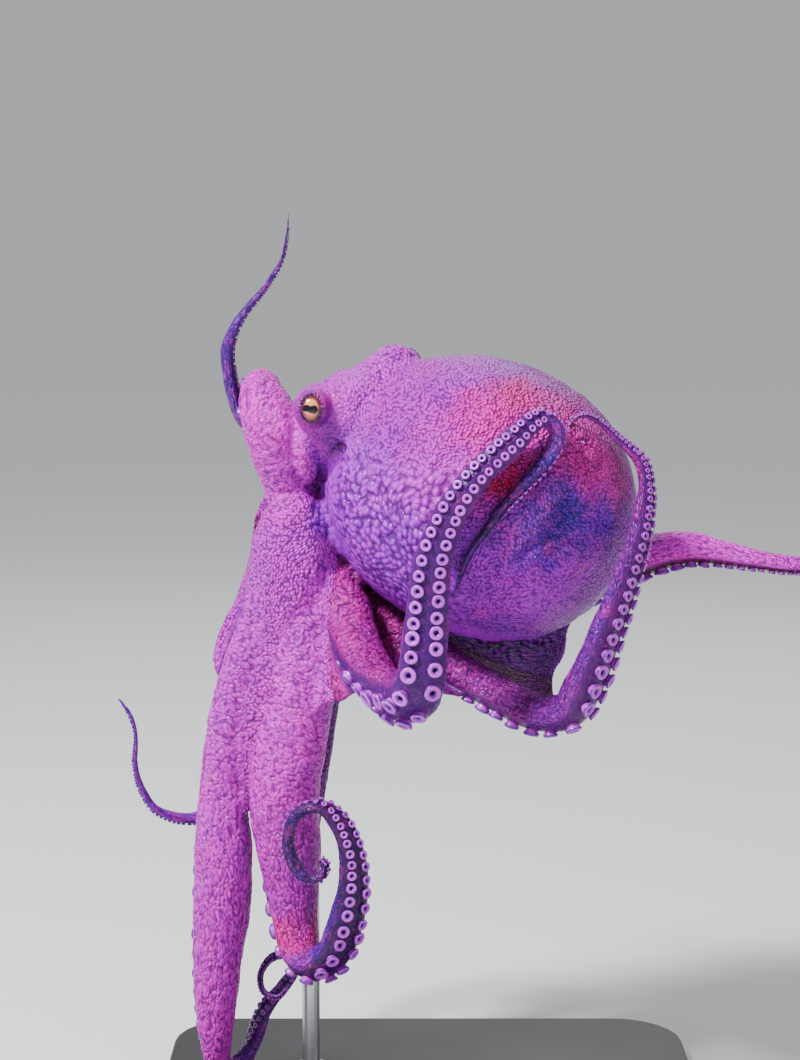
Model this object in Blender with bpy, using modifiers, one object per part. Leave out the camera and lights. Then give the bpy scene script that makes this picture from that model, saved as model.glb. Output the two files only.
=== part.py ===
"""A common octopus, Octopus vulgaris, hanging in mid water with two arms curled up past its mantle.

The animal is divided where its parts have names: mantle, head, eyes, siphon, arm crown, eight arms of
three lengths each, and the web between each two arms.  A rod on a flat base holds it up.
Sizes and places are in millimetres and are turned into metres by MM.  +Z is up, the animal's left eye
looks towards -Y, and the origin is the middle of the underside of the base.
"""
import math

import bmesh
import bpy
from mathutils import Vector
from mathutils.geometry import interpolate_bezier

MM = 0.001

# Clear space between neighbouring solids, and how far a cutter is grown to leave it.
LENGTH_GAP = 0.35
CARVE_GAP = 0.42

# Mantle: an egg on its side, blunt at the far end and narrower at the neck.
MANTLE_CENTRE = Vector((29, -8, 412))
MANTLE_AXIS = Vector((0.80, -0.55, -0.26)).normalized()
MANTLE_HALF_LENGTH = 103
MANTLE_RADIUS = 86.5
MANTLE_TAPER = 0.04
MANTLE_ROUNDNESS = 2.25
MANTLE_BACK = Vector((0.25, 0, 1)).normalized()
MANTLE_BACK_RISE = 0.05

# Head: a ball with a mound for each eye.
HEAD_CENTRE = Vector((-48, -1, 462))
HEAD_RADII = Vector((31, 33, 33))
HEAD_CHIN = 48
EYE_MOUND_SPREAD = math.radians(26)
LEFT_MOUND = Vector((-26, -28, 10)).normalized()
LEFT_MOUND_HEIGHT = 23
RIGHT_MOUND = Vector((28, 21, 33)).normalized()
RIGHT_MOUND_HEIGHT = 34

# Eyes: balls that look out of the mounds.
EYE_RADIUS = 11.5
LEFT_EYE = Vector((-74, -30, 469))
RIGHT_EYE = Vector((-18, 31, 495))

# Arm crown, round the mouth, and the siphon below the head.
CROWN_CENTRE = Vector((-79, 10, 384))
CROWN_RADII = Vector((35, 36, 35))
NECK_CENTRE = Vector((-64, 4, 424))
NECK_RADII = Vector((25, 26, 30))
SIPHON_BASE = Vector((-46, 38, 432))
SIPHON_MOUTH = Vector((-84, 66, 408))
SIPHON_WIDTHS = (30, 15)
SIPHON_BORE_WIDTHS = (17, 9)
SIPHON_BORE_SHARE = 0.7

# Section of an arm: width 1 across, a round back and a flatter side for the suckers.
SECTION_SIDES = 9
BACK_DEPTH = 0.43
SUCKER_SIDE_DEPTH = 0.34
RING_SPACING = 1.3
RING_SPACING_LEAST = 3.5
RING_TURN = math.radians(27)
RING_TWIST = math.radians(43)
LAST_RING_SHARE = 1.4
TIP_SIDES = 7
BEND_CLEAR = 0.65
BEND_REACH = 3
STEP_ALONG = 1.5
SAMPLES_BETWEEN_POINTS = 11

# Suckers in two rows, in shares of the arm's width.
SUCKER_RADIUS = 0.135
SUCKER_ROW_OFFSET = 0.21
SUCKER_PITCH = 0.36
SUCKER_RISE = 0.07
SUCKER_SIDES = 5
SUCKER_MARGIN = 4

# Each arm: centre line points (x, y, z, width), directions that the suckers face at shares of its
# length, the shares where it is parted, and the stretch whose suckers are large enough to model.
ARMS = {
    "arm_up": dict(
        route=((-85, 10, 393, 30), (-91, 2, 414, 31), (-95, -4, 436, 38), (-102, -8, 459, 38),
               (-108, 0, 475, 35), (-109, 15, 480, 27), (-107, 31, 473, 19), (-106, 43, 461, 15),
               (-114, 50, 452, 13), (-125, 46, 460, 12.5), (-130, 40, 476, 12), (-133, 36, 492, 11),
               (-133, 32, 509, 10), (-124, 30, 528, 7),
               (-108, 28, 547, 5), (-97, 26, 565, 3.5), (-93, 24, 585, 2.6), (-92, 22, 598, 2)),
        facing=((0, (-0.7, 0.7, 0)), (0.3, (-0.9, 0.3, 0)), (0.38, (-1, 0, -0.2)), (0.44, (-0.8, -0.2, 0.3)),
                (0.48, (0, -0.3, 1)), (0.52, (0.6, 0, 0.8)), (0.57, (1, 0.3, 0)), (1, (0.7, 0.7, 0.2))),
        parts=(0.32, 0.58),
        suckers=None),
    "arm_left": dict(
        route=((-91, 0, 380, 24), (-103, -11, 356, 24), (-114, -14, 327, 24), (-125, -15, 297, 24),
               (-133, -15, 254, 26), (-136, -14, 213, 31), (-136, -13, 180, 38), (-137, -12, 144, 38),
               (-140, -12, 112, 34), (-142, -12, 75, 28), (-142, -12, 50, 22), (-141, -9, 35, 17),
               (-136, -2, 26, 15), (-128, 6, 26, 14), (-121, 10, 36, 13), (-116, 10, 50, 12.5),
               (-110, 10, 65, 11.5), (-98, 12, 80, 9.5), (-91, 12, 91, 7.5), (-95, 10, 101, 6.5),
               (-106, 5, 101, 6), (-113, 0, 91, 5.5), (-110, -4, 80, 5), (-101, -6, 78, 4.5),
               (-95, -7, 84, 4)),
        facing=((0, (-0.5, 1, 0)), (0.7, (-0.7, 0.7, 0)), (0.78, (-0.9, -0.4, 0.2)),
                (0.84, (-0.2, -1, 0.1)), (1, (0, -1, 0))),
        parts=(0.34, 0.62),
        suckers=None),
    "arm_front": dict(
        route=((-75, 0, 377, 32), (-76, -13, 346, 35), (-79, -19, 314, 38), (-83, -22, 282, 40),
               (-91, -22, 248, 43), (-95, -21, 215, 44), (-92, -20, 179, 40), (-90, -20, 148, 35),
               (-88, -23, 129, 31), (-84, -31, 115, 28), (-75, -42, 111, 27), (-63, -51, 122, 26),
               (-55, -54, 142, 25), (-50, -54, 166, 21.5), (-51, -54, 191, 17), (-58, -54, 209, 14.5),
               (-71, -54, 220, 11.5), (-84, -53, 216, 10.5), (-91, -52, 201, 9.6), (-89, -51, 184, 9),
               (-81, -50, 173, 8.3), (-72, -50, 172, 7.7), (-67, -50, 179, 6.8), (-71, -50, 185, 5.5)),
        facing=((0, (0, 1, 0)), (0.4, (-0.3, 1, 0)), (0.5, (-0.3, 0.2, -1)), (0.62, (0.9, -0.5, -0.1)),
                (0.75, (0.7, -0.5, 0.5)), (0.82, (-0.4, -0.5, 0.8)), (0.9, (-0.9, -0.4, -0.1)),
                (0.96, (0, -0.5, -1)), (1, (0.9, -0.4, 0.2))),
        parts=(0.28, 0.53),
        suckers=(0.54, 0.65)),
    "arm_centre": dict(
        route=((-62, 4, 367, 29), (-53, -20, 341, 30), (-43, -46, 314, 32), (-28, -70, 297, 35),
               (-15, -91, 296, 39), (-7, -105, 306, 40), (-3, -107, 324, 37), (-1, -106, 340, 34.5),
               (1, -107, 361, 31), (4, -109, 385, 28), (11, -111, 408, 24.5), (20, -112, 426, 21),
               (31, -110, 441, 18), (46, -105, 455, 16), (58, -99, 466, 13), (68, -92, 470, 11.5),
               (75, -91, 461, 11), (69, -96, 446, 11), (53, -103, 429, 10.2), (41, -105, 416, 9),
               (31, -104, 402, 7.8), (22, -101, 388, 6.4), (17, -97, 375, 4.8), (14, -93, 363, 3)),
        facing=((0, (0, 0.5, -1)), (0.18, (-0.2, -0.3, -1)), (0.26, (-0.1, -1, -0.4)), (0.34, (0, -1, 0)),
                (0.6, (-0.2, -1, 0.2)), (0.7, (0.7, -0.2, 0.7)), (0.76, (0.6, 0.8, -0.3)), (1, (0.2, 1, 0))),
        parts=(0.3, 0.62),
        suckers=(0.31, 0.51)),
    "arm_right": dict(
        route=((-53, 22, 362, 27), (-23, 3, 328, 28), (12, -20, 305, 28), (44, -44, 289, 30),
               (70, -63, 281, 30), (86, -73, 285, 30), (94, -78, 300, 30), (101, -80, 318, 28),
               (108, -82, 339, 24.5), (115, -82, 357, 22), (121, -80, 375, 18.5), (127, -76, 393, 16.5),
               (131, -71, 411, 14), (132, -66, 429, 11), (129, -64, 441, 10), (121, -64, 449, 8),
               (112, -64, 457, 6.8), (104, -66, 464, 5.6), (95, -69, 469, 5), (88, -71, 468, 4.3),
               (83, -74, 461, 3.6), (86, -75, 454, 3.1), (93, -75, 453, 2.6), (97, -74, 459, 2.3)),
        facing=((0, (0, 0.5, -1)), (0.32, (0, -0.1, -1)), (0.42, (0.8, -0.4, -0.5)), (0.5, (0.9, -0.6, 0)),
                (0.75, (0.9, -0.5, 0.2)), (0.85, (0.4, -0.4, 0.8)), (0.93, (-0.3, -0.4, 0.9)),
                (1, (-0.9, -0.3, -0.4))),
        parts=(0.36, 0.68),
        suckers=(0.38, 0.54)),
    "arm_rear_right": dict(
        route=((-62, 42, 383, 27), (-24, 72, 361, 30), (33, 88, 343, 32), (88, 84, 338, 33),
               (117, 76, 346, 34), (147, 65, 363, 34), (176, 56, 370, 27), (197, 50, 368, 21.5),
               (219, 45, 364, 16.5), (248, 40, 361, 14.5), (280, 35, 365, 12), (310, 28, 377, 8.8),
               (331, 20, 394, 6), (339, 14, 413, 4.2), (335, 10, 429, 3)),
        facing=((0, (0, 0.3, -1)), (0.75, (0.1, 0.1, -1)), (0.9, (0.7, 0, -0.7)), (1, (1, 0, 0))),
        parts=(0.34, 0.62),
        suckers=None),
    "arm_rear_left": dict(
        route=((-92, 34, 384, 25), (-113, 55, 352, 24), (-129, 69, 300, 23), (-138, 72, 250, 21),
               (-143, 60, 212, 15.5), (-149, 44, 194, 12), (-157, 33, 190, 9.2), (-170, 28, 191, 8),
               (-184, 24, 198, 7), (-193, 22, 212, 6), (-197, 20, 231, 5), (-196, 18, 252, 4),
               (-201, 16, 267, 3.2), (-208, 14, 277, 2)),
        facing=((0, (0.3, 1, 0)), (0.4, (0, 1, -0.3)), (0.6, (-0.3, 0, -1)), (0.8, (-1, 0.2, -0.2)),
                (1, (-1, 0.2, 0))),
        parts=(0.34, 0.58),
        suckers=None),
    "arm_rear": dict(
        route=((-72, 44, 374, 25.5), (-66, 60, 322, 24.5), (-73, 62, 265, 23), (-80, 53, 211, 20.5),
               (-87, 45, 157, 18), (-90, 41, 106, 15), (-90, 48, 86, 13), (-88, 61, 80, 11.5),
               (-86, 72, 93, 10), (-85, 77, 120, 8.5), (-87, 75, 150, 6.5), (-90, 68, 178, 4.7),
               (-92, 60, 194, 3.4)),
        facing=((0, (0.3, 1, 0)), (0.63, (0, 1, 0)), (0.71, (0, 0, 1)), (0.8, (0, -1, 0)),
                (1, (0, -1, 0.2))),
        parts=(0.34, 0.62),
        suckers=None),
}

# Webs: the two arms, how far along each the web reaches, how deeply its free edge is drawn in, how
# far and which way it billows, how near the second arm it billows most, and how far to one side of
# the arms' centre lines it starts, in shares of their width.
WEB_THICKNESS = 3.2
WEB_CELLS_ACROSS = 4
WEB_CELLS_OUT = 4
WEB_START = 14
WEBS = (
    ("arm_up", "arm_left", 30, 108, 0, 25, (-0.9, 0.3, -0.25), 2, (0, 0, 0)),
    ("arm_left", "arm_front", 190, 180, 0.03, 2, (0, 1, 0), 1, (0, -0.30, 0)),
    ("arm_front", "arm_centre", 109, 104, 0.02, 8, (0.1, -1, 0.1), 1, (0.25, -0.35, 0.1)),
    ("arm_centre", "arm_right", 118, 128, 0.08, 8, (0, 0, -1), 1, (0, 0, -0.2)),
    ("arm_right", "arm_rear_right", 182, 200, 0.07, 10, (0, 0, -1), 1, (0, 0, 0)),
    ("arm_rear_right", "arm_rear", 90, 90, 0.35, 8, (0.3, 0.3, -1), 1, (0, 0, 0)),
    ("arm_rear", "arm_rear_left", 120, 110, 0.3, 8, (0, 1, 0), 1, (0, 0, 0)),
    ("arm_rear_left", "arm_up", 75, 55, 0.1, 12, (-1, 0.3, 0), 1, (0, 0, 0)),
)

# Stand: a flat base with one rod that ends inside the arm crown.
BASE_LENGTH = 360
BASE_DEPTH = 260
BASE_THICKNESS = 15
BASE_CORNER = 45
BASE_EDGE = 2
ROD_RADIUS = 6
ROD_PLACE = Vector((-80, 14, 0))
ROD_TOP = 378
COLLAR_RADIUS = 13
COLLAR_HEIGHT = 8


def clear_scene():
    for obj in list(bpy.data.objects):
        bpy.data.objects.remove(obj)


def new_collection(name):
    collection = bpy.data.collections.new(name)
    bpy.context.scene.collection.children.link(collection)
    return collection


def finish(name, colour, roughness, metallic=0.0):
    material = bpy.data.materials.new(name)
    material.use_nodes = True
    shader = material.node_tree.nodes["Principled BSDF"]
    shader.inputs["Base Color"].default_value = (*colour, 1)
    shader.inputs["Roughness"].default_value = roughness
    shader.inputs["Metallic"].default_value = metallic
    return material


def mesh_object(name, form, collection):
    """A new object from a bmesh, in flat triangles that point outwards."""
    bmesh.ops.triangulate(form, faces=form.faces)
    form.normal_update()
    bmesh.ops.recalc_face_normals(form, faces=form.faces)
    mesh = bpy.data.meshes.new(name)
    form.to_mesh(mesh)
    form.free()
    mesh.shade_smooth()
    obj = bpy.data.objects.new(name, mesh)
    collection.objects.link(obj)
    return obj


def apply_modifiers(obj):
    bpy.context.view_layer.update()
    seen = obj.evaluated_get(bpy.context.evaluated_depsgraph_get())
    obj.data = bpy.data.meshes.new_from_object(seen)
    obj.modifiers.clear()


def ball(name, centre, radii, segments, rings, collection, shape=None):
    """A ball in millimetres; shape moves each unit direction to its own distance."""
    form = bmesh.new()
    bmesh.ops.create_uvsphere(form, u_segments=segments, v_segments=rings, radius=1)
    for vert in form.verts:
        way = vert.co.normalized()
        place = Vector((way.x * radii.x, way.y * radii.y, way.z * radii.z))
        if shape:
            place = shape(way, place)
        vert.co = (centre + place) * MM
    return mesh_object(name, form, collection)


def mantle_form(way, place):
    """The pole of the ball becomes the mantle's far end."""
    along = way.z
    girth = max(0.0, 1 - abs(along) ** MANTLE_ROUNDNESS) ** (1 / MANTLE_ROUNDNESS)
    girth *= MANTLE_RADIUS * (1 + MANTLE_TAPER * along)
    across = Vector((way.x, way.y, 0))
    if across.length > 0:
        across.normalize()
    turned = MANTLE_AXIS.to_track_quat("Z", "Y") @ across
    spot = turned * girth + MANTLE_AXIS * along * MANTLE_HALF_LENGTH
    back = max(0.0, spot.normalized().dot(MANTLE_BACK))
    return spot * (1 + MANTLE_BACK_RISE * back ** 3)


def head_form(way, place):
    """Draws the head's ball down to the arms and adds the mound of each eye."""
    if way.z < 0:
        place.z *= HEAD_CHIN / HEAD_RADII.z
    for mound, height in ((LEFT_MOUND, LEFT_MOUND_HEIGHT), (RIGHT_MOUND, RIGHT_MOUND_HEIGHT)):
        spread = place.angle(mound) / EYE_MOUND_SPREAD
        place = place + place.normalized() * height * math.exp(-spread * spread)
    return place


def route_samples(route):
    """Points and widths on a smooth curve through a route, with the distance along it."""
    knots = [Vector(row[:3]) for row in route]
    widths = [row[3] for row in route]
    runs = [(b - a).length for a, b in zip(knots, knots[1:])]
    slopes = [(knots[1] - knots[0]) / runs[0]]
    for i in range(1, len(knots) - 1):
        before = (knots[i] - knots[i - 1]) / runs[i - 1]
        after = (knots[i + 1] - knots[i]) / runs[i]
        slopes.append((before * runs[i] + after * runs[i - 1]) / (runs[i] + runs[i - 1]))
    slopes.append((knots[-1] - knots[-2]) / runs[-1])
    samples = []
    for i, run in enumerate(runs):
        handle_out = knots[i] + slopes[i] * run / 3
        handle_in = knots[i + 1] - slopes[i + 1] * run / 3
        stretch = interpolate_bezier(knots[i], handle_out, handle_in, knots[i + 1],
                                     SAMPLES_BETWEEN_POINTS + 1)
        for k, point in enumerate(stretch[:-1]):
            share = k / SAMPLES_BETWEEN_POINTS
            samples.append((point, widths[i] + (widths[i + 1] - widths[i]) * share))
    samples.append((knots[-1], widths[-1]))
    distance = [0.0]
    for (a, _), (b, _) in zip(samples, samples[1:]):
        distance.append(distance[-1] + (b - a).length)
    return samples, distance


def facing_at(facing, share):
    """Direction that the suckers face at a share of the arm's length."""
    for (low, first), (high, second) in zip(facing, facing[1:]):
        if share <= high:
            mix = (share - low) / (high - low)
            return Vector(first).normalized().lerp(Vector(second).normalized(), max(0.0, mix))
    return Vector(facing[-1][1])


class ArmLine:
    """An arm's centre line: place, width and directions at any distance along it."""

    def __init__(self, arm):
        self.samples, self.distance = route_samples(arm["route"])
        self.facing = arm["facing"]
        self.length = self.distance[-1]

    def at(self, along):
        along = min(max(along, 0.0), self.length)
        i = 0
        while self.distance[i + 1] < along:
            i += 1
        share = (along - self.distance[i]) / (self.distance[i + 1] - self.distance[i])
        (first, first_width), (second, second_width) = self.samples[i], self.samples[i + 1]
        return first.lerp(second, share), first_width + (second_width - first_width) * share

    def frame(self, along):
        """Centre, width, way along, way across and way that the suckers face."""
        centre, width = self.at(along)
        ahead, _ = self.at(along + STEP_ALONG)
        behind, _ = self.at(along - STEP_ALONG)
        forward = (ahead - behind).normalized()
        out = facing_at(self.facing, along / self.length)
        out = (out - forward * out.dot(forward)).normalized()
        return centre, width, forward, forward.cross(out), out

    def bend(self, along):
        """Curvature vector of the centre line, which points to the inside of its bend."""
        _, _, behind, _, _ = self.frame(max(along - BEND_REACH, 0))
        _, _, ahead, _, _ = self.frame(min(along + BEND_REACH, self.length))
        return (ahead - behind) / (2 * BEND_REACH)


def ring_places(line, start, end):
    """Distances of the rings of one length of an arm, closer where it is thin or bends."""
    places = [start]
    while True:
        here = places[-1]
        _, width, forward, _, out = line.frame(here)
        step = RING_SPACING_LEAST
        while step < width * RING_SPACING:
            _, _, ahead, _, ahead_out = line.frame(min(here + step + 1, end))
            if forward.angle(ahead) > RING_TURN or out.angle(ahead_out) > RING_TWIST:
                break
            step += 1
        if here + step * LAST_RING_SHARE > end:
            break
        places.append(here + step)
    return places + [end]


def arm_ring(form, line, along, sides):
    """One ring of the section, held clear of the inside of a tight bend."""
    centre, width, _, across, out = line.frame(along)
    bend = line.bend(along)
    inward = bend.normalized()
    room = BEND_CLEAR / max(bend.length, 1e-4)
    ring = []
    for i in range(sides):
        turn = 2 * math.pi * i / sides
        depth = SUCKER_SIDE_DEPTH if math.sin(turn) > 0 else BACK_DEPTH
        point = across * width / 2 * math.cos(turn) + out * width * depth * math.sin(turn)
        excess = point.dot(inward) - room
        if excess > 0:
            point -= inward * excess
        ring.append(form.verts.new((centre + point) * MM))
    return ring


def arm_length(name, line, start, end, sides, collection):
    """One length of an arm, lofted through its rings and closed at both ends."""
    form = bmesh.new()
    rings = [arm_ring(form, line, along, sides) for along in ring_places(line, start, end)]
    for first, second in zip(rings, rings[1:]):
        for i in range(sides):
            j = (i + 1) % sides
            form.faces.new((first[i], first[j], second[j], second[i]))
    form.faces.new(rings[0])
    form.faces.new(reversed(rings[-1]))
    return mesh_object(name, form, collection)


def sucker_stubs(name, line, start, end, collection):
    """The suckers of one stretch of an arm, as short five-sided stubs in two staggered rows."""
    form = bmesh.new()
    along = start
    side = 1
    while along < end:
        centre, width, _, across, out = line.frame(along)
        root = centre + across * side * SUCKER_ROW_OFFSET * width
        rise = SUCKER_SIDE_DEPTH + SUCKER_RISE
        turn = out.to_track_quat("Z", "Y").to_matrix().to_4x4()
        stub = bmesh.ops.create_cone(
            form, cap_ends=True, segments=SUCKER_SIDES, radius1=SUCKER_RADIUS * width * MM,
            radius2=SUCKER_RADIUS * width * MM, depth=rise * width * MM)
        bmesh.ops.rotate(form, verts=stub["verts"], cent=(0, 0, 0), matrix=turn)
        bmesh.ops.translate(form, verts=stub["verts"], vec=(root + out * rise * width / 2) * MM)
        along += SUCKER_PITCH * width / 2
        side = -side
    return mesh_object(name, form, collection)


def join(obj, extra):
    """Joins another solid to an object with a Boolean union."""
    union = obj.modifiers.new("join", "BOOLEAN")
    union.operation = "UNION"
    union.solver = "EXACT"
    union.object = extra
    apply_modifiers(obj)
    bpy.data.objects.remove(extra)


def boxes_meet(first, second, margin):
    low_a, high_a = first
    low_b, high_b = second
    return all(low_a[k] - margin < high_b[k] and low_b[k] - margin < high_a[k] for k in range(3))


def box_of(obj):
    corners = [vert.co for vert in obj.data.vertices]
    low = Vector([min(c[k] for c in corners) for k in range(3)])
    high = Vector([max(c[k] for c in corners) for k in range(3)])
    return low, high


def keep_largest(obj):
    """Drops the loose crumbs that a cut leaves, and keeps the main body."""
    form = bmesh.new()
    form.from_mesh(obj.data)
    unseen = set(form.verts)
    bodies = []
    while unseen:
        body = [unseen.pop()]
        for vert in body:
            for edge in vert.link_edges:
                other = edge.other_vert(vert)
                if other in unseen:
                    unseen.remove(other)
                    body.append(other)
        bodies.append(body)
    bodies.sort(key=len)
    for body in bodies[:-1]:
        bmesh.ops.delete(form, geom=body, context="VERTS")
    form.normal_update()
    bmesh.ops.recalc_face_normals(form, faces=form.faces)
    form.to_mesh(obj.data)
    form.free()
    obj.data.shade_smooth()


def cutter_of(obj, cutters):
    """A copy of a solid, grown by the gap that neighbours keep."""
    cutter = bpy.data.objects.new("cut_" + obj.name, obj.data.copy())
    cutters.objects.link(cutter)
    cutter.hide_render = True
    cutter.display_type = "WIRE"
    grow = cutter.modifiers.new("grow", "DISPLACE")
    grow.strength = CARVE_GAP * MM
    grow.mid_level = 0
    return cutter


def carve(obj, cutters):
    """Cuts the grown copies of all earlier solids out of an object, in one Boolean."""
    near = bpy.data.collections.new("near")
    for cutter in cutters.objects:
        if boxes_meet(box_of(obj), box_of(cutter), CARVE_GAP * MM):
            near.objects.link(cutter)
    if near.objects:
        cut = obj.modifiers.new("carve", "BOOLEAN")
        cut.operation = "DIFFERENCE"
        cut.solver = "EXACT"
        cut.operand_type = "COLLECTION"
        cut.collection = near
        apply_modifiers(obj)
        keep_largest(obj)
    bpy.data.collections.remove(near)


def add(obj, material, cutters, cuts_others=True):
    """Fits a solid to those made before it, and makes it a cutter for those that follow."""
    whole = cutter_of(obj, cutters)
    cutters.objects.unlink(whole)
    carve(obj, cutters)
    if cuts_others:
        cutters.objects.link(whole)
    else:
        bpy.data.objects.remove(whole)
    obj.data.materials.clear()
    obj.data.materials.append(material)
    return obj


def make_base(collection):
    form = bmesh.new()
    bmesh.ops.create_cube(form, size=1)
    bmesh.ops.scale(form, verts=form.verts, vec=(BASE_LENGTH * MM, BASE_DEPTH * MM, BASE_THICKNESS * MM))
    bmesh.ops.translate(form, verts=form.verts, vec=(0, 0, BASE_THICKNESS * MM / 2))
    upright = [edge for edge in form.edges if edge.verts[0].co.xy == edge.verts[1].co.xy]
    bmesh.ops.bevel(form, geom=upright, offset=BASE_CORNER * MM, segments=6, profile=0.5, affect="EDGES")
    middle = BASE_THICKNESS / 2 * MM
    top = [edge for edge in form.edges if all(vert.co.z > middle for vert in edge.verts)]
    bmesh.ops.bevel(form, geom=top, offset=BASE_EDGE * MM, segments=2, profile=0.5, affect="EDGES")
    return mesh_object("stand_base", form, collection)


def upright_rod(name, radius, low, high, sides, collection):
    form = bmesh.new()
    bmesh.ops.create_cone(form, cap_ends=True, segments=sides, radius1=radius * MM, radius2=radius * MM,
                          depth=(high - low) * MM)
    bmesh.ops.translate(form, verts=form.verts, vec=(ROD_PLACE + Vector((0, 0, (low + high) / 2))) * MM)
    return mesh_object(name, form, collection)


def funnel(name, widths, low, high, collection):
    """A tapered round solid on the siphon's axis, between two distances from its base."""
    form = bmesh.new()
    bmesh.ops.create_cone(form, cap_ends=True, segments=14, radius1=widths[0] / 2 * MM,
                          radius2=widths[1] / 2 * MM, depth=(high - low) * MM)
    turn = (SIPHON_MOUTH - SIPHON_BASE).to_track_quat("Z", "Y").to_matrix().to_4x4()
    bmesh.ops.translate(form, verts=form.verts, vec=(0, 0, (low + high) / 2 * MM))
    bmesh.ops.rotate(form, verts=form.verts, cent=(0, 0, 0), matrix=turn)
    bmesh.ops.translate(form, verts=form.verts, vec=SIPHON_BASE * MM)
    return mesh_object(name, form, collection)


def make_siphon(collection):
    """A tapered funnel, hollow from its mouth to most of its depth."""
    depth = (SIPHON_MOUTH - SIPHON_BASE).length
    siphon = funnel("siphon", SIPHON_WIDTHS, 0, depth, collection)
    bore = funnel("bore", SIPHON_BORE_WIDTHS, depth * (1 - SIPHON_BORE_SHARE), depth + 1, collection)
    hollow = siphon.modifiers.new("hollow", "BOOLEAN")
    hollow.operation = "DIFFERENCE"
    hollow.solver = "EXACT"
    hollow.object = bore
    apply_modifiers(siphon)
    bpy.data.objects.remove(bore)
    return siphon


def make_web(web, lines, collection):
    """A sheet between two arms, with its free edge drawn in between them."""
    first, second, reach_first, reach_second, notch, swell, billow, lean, side = web
    form = bmesh.new()
    bmesh.ops.create_grid(form, x_segments=WEB_CELLS_ACROSS, y_segments=WEB_CELLS_OUT, size=0.5)
    for vert in form.verts:
        across = vert.co.x + 0.5
        out = vert.co.y + 0.5
        arch = math.sin(math.pi * across ** lean)
        ends = []
        for name, reach in ((first, reach_first), (second, reach_second)):
            place, width = lines[name].at(WEB_START + (reach - WEB_START) * out)
            ends.append(place + Vector(side) * width * (1 - 0.5 * out ** 4))
        point = ends[0].lerp(ends[1], across)
        point = CROWN_CENTRE + (point - CROWN_CENTRE) * (1 - notch * arch * out)
        vert.co = (point + Vector(billow).normalized() * swell * arch * out) * MM
    sheet = mesh_object("web_" + first[4:] + "_to_" + second[4:], form, collection)
    wall = sheet.modifiers.new("wall", "SOLIDIFY")
    wall.thickness = WEB_THICKNESS * MM
    wall.offset = 0
    sheet.modifiers.new("flat", "TRIANGULATE")
    apply_modifiers(sheet)
    return sheet


def build():
    clear_scene()
    octopus = new_collection("octopus")
    cutters = new_collection("cutters")
    skin = finish("skin", (0.55, 0.16, 0.42), 0.45)
    pale_skin = finish("pale_skin", (0.50, 0.24, 0.55), 0.45)
    web_skin = finish("web_skin", (0.30, 0.04, 0.28), 0.45)
    eyeball = finish("eyeball", (0.75, 0.50, 0.25), 0.10)
    board = finish("stand_board", (0.03, 0.03, 0.035), 0.5)
    steel = finish("stand_steel", (0.55, 0.55, 0.57), 0.3, 1.0)

    add(make_base(octopus), board, cutters)
    collar_top = BASE_THICKNESS + COLLAR_HEIGHT
    collar = upright_rod("stand_collar", COLLAR_RADIUS, BASE_THICKNESS + LENGTH_GAP, collar_top, 24, octopus)
    add(collar, steel, cutters)
    rod = upright_rod("stand_rod", ROD_RADIUS, collar_top + LENGTH_GAP, ROD_TOP, 16, octopus)
    add(rod, steel, cutters)

    one = Vector((1, 1, 1))
    for name, centre in (("eye_left", LEFT_EYE), ("eye_right", RIGHT_EYE)):
        add(ball(name, centre, one * EYE_RADIUS, 12, 8, octopus), eyeball, cutters)
    add(ball("mantle", MANTLE_CENTRE, one, 24, 14, octopus, mantle_form), skin, cutters)
    head = ball("head", HEAD_CENTRE, HEAD_RADII, 18, 13, octopus, head_form)
    join(head, ball("neck", NECK_CENTRE, NECK_RADII, 12, 8, octopus))
    add(head, skin, cutters)
    add(ball("crown", CROWN_CENTRE, CROWN_RADII, 14, 9, octopus), skin, cutters)
    add(make_siphon(octopus), pale_skin, cutters)

    lines = {name: ArmLine(arm) for name, arm in ARMS.items()}
    for name, arm in ARMS.items():
        line = lines[name]
        ends = [0.0] + [share * line.length for share in arm["parts"]] + [line.length]
        for part, start, end in zip(("base", "middle", "tip"), ends, ends[1:]):
            inset = LENGTH_GAP if start else 0
            sides = TIP_SIDES if part == "tip" else SECTION_SIDES
            piece = arm_length(name + "_" + part, line, start + inset, end, sides, octopus)
            add(piece, skin, cutters)
            if arm["suckers"]:
                first = max(arm["suckers"][0] * line.length, start + SUCKER_MARGIN)
                last = min(arm["suckers"][1] * line.length, end - SUCKER_MARGIN)
                if last > first:
                    join(piece, sucker_stubs("stubs", line, first, last, octopus))
    for web in WEBS:
        add(make_web(web, lines, octopus), web_skin, cutters, cuts_others=False)


build()
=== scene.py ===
"""A common octopus hanging in mid water, as a life-size display model on a plain stand.

Lengths are in metres, or in millimetres times MM.  +Z is up and the left eye looks towards -Y.
"""
import math
import random

import bmesh
import bpy
import numpy as np
from mathutils import Matrix, Vector
from mathutils.geometry import interpolate_bezier


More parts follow.
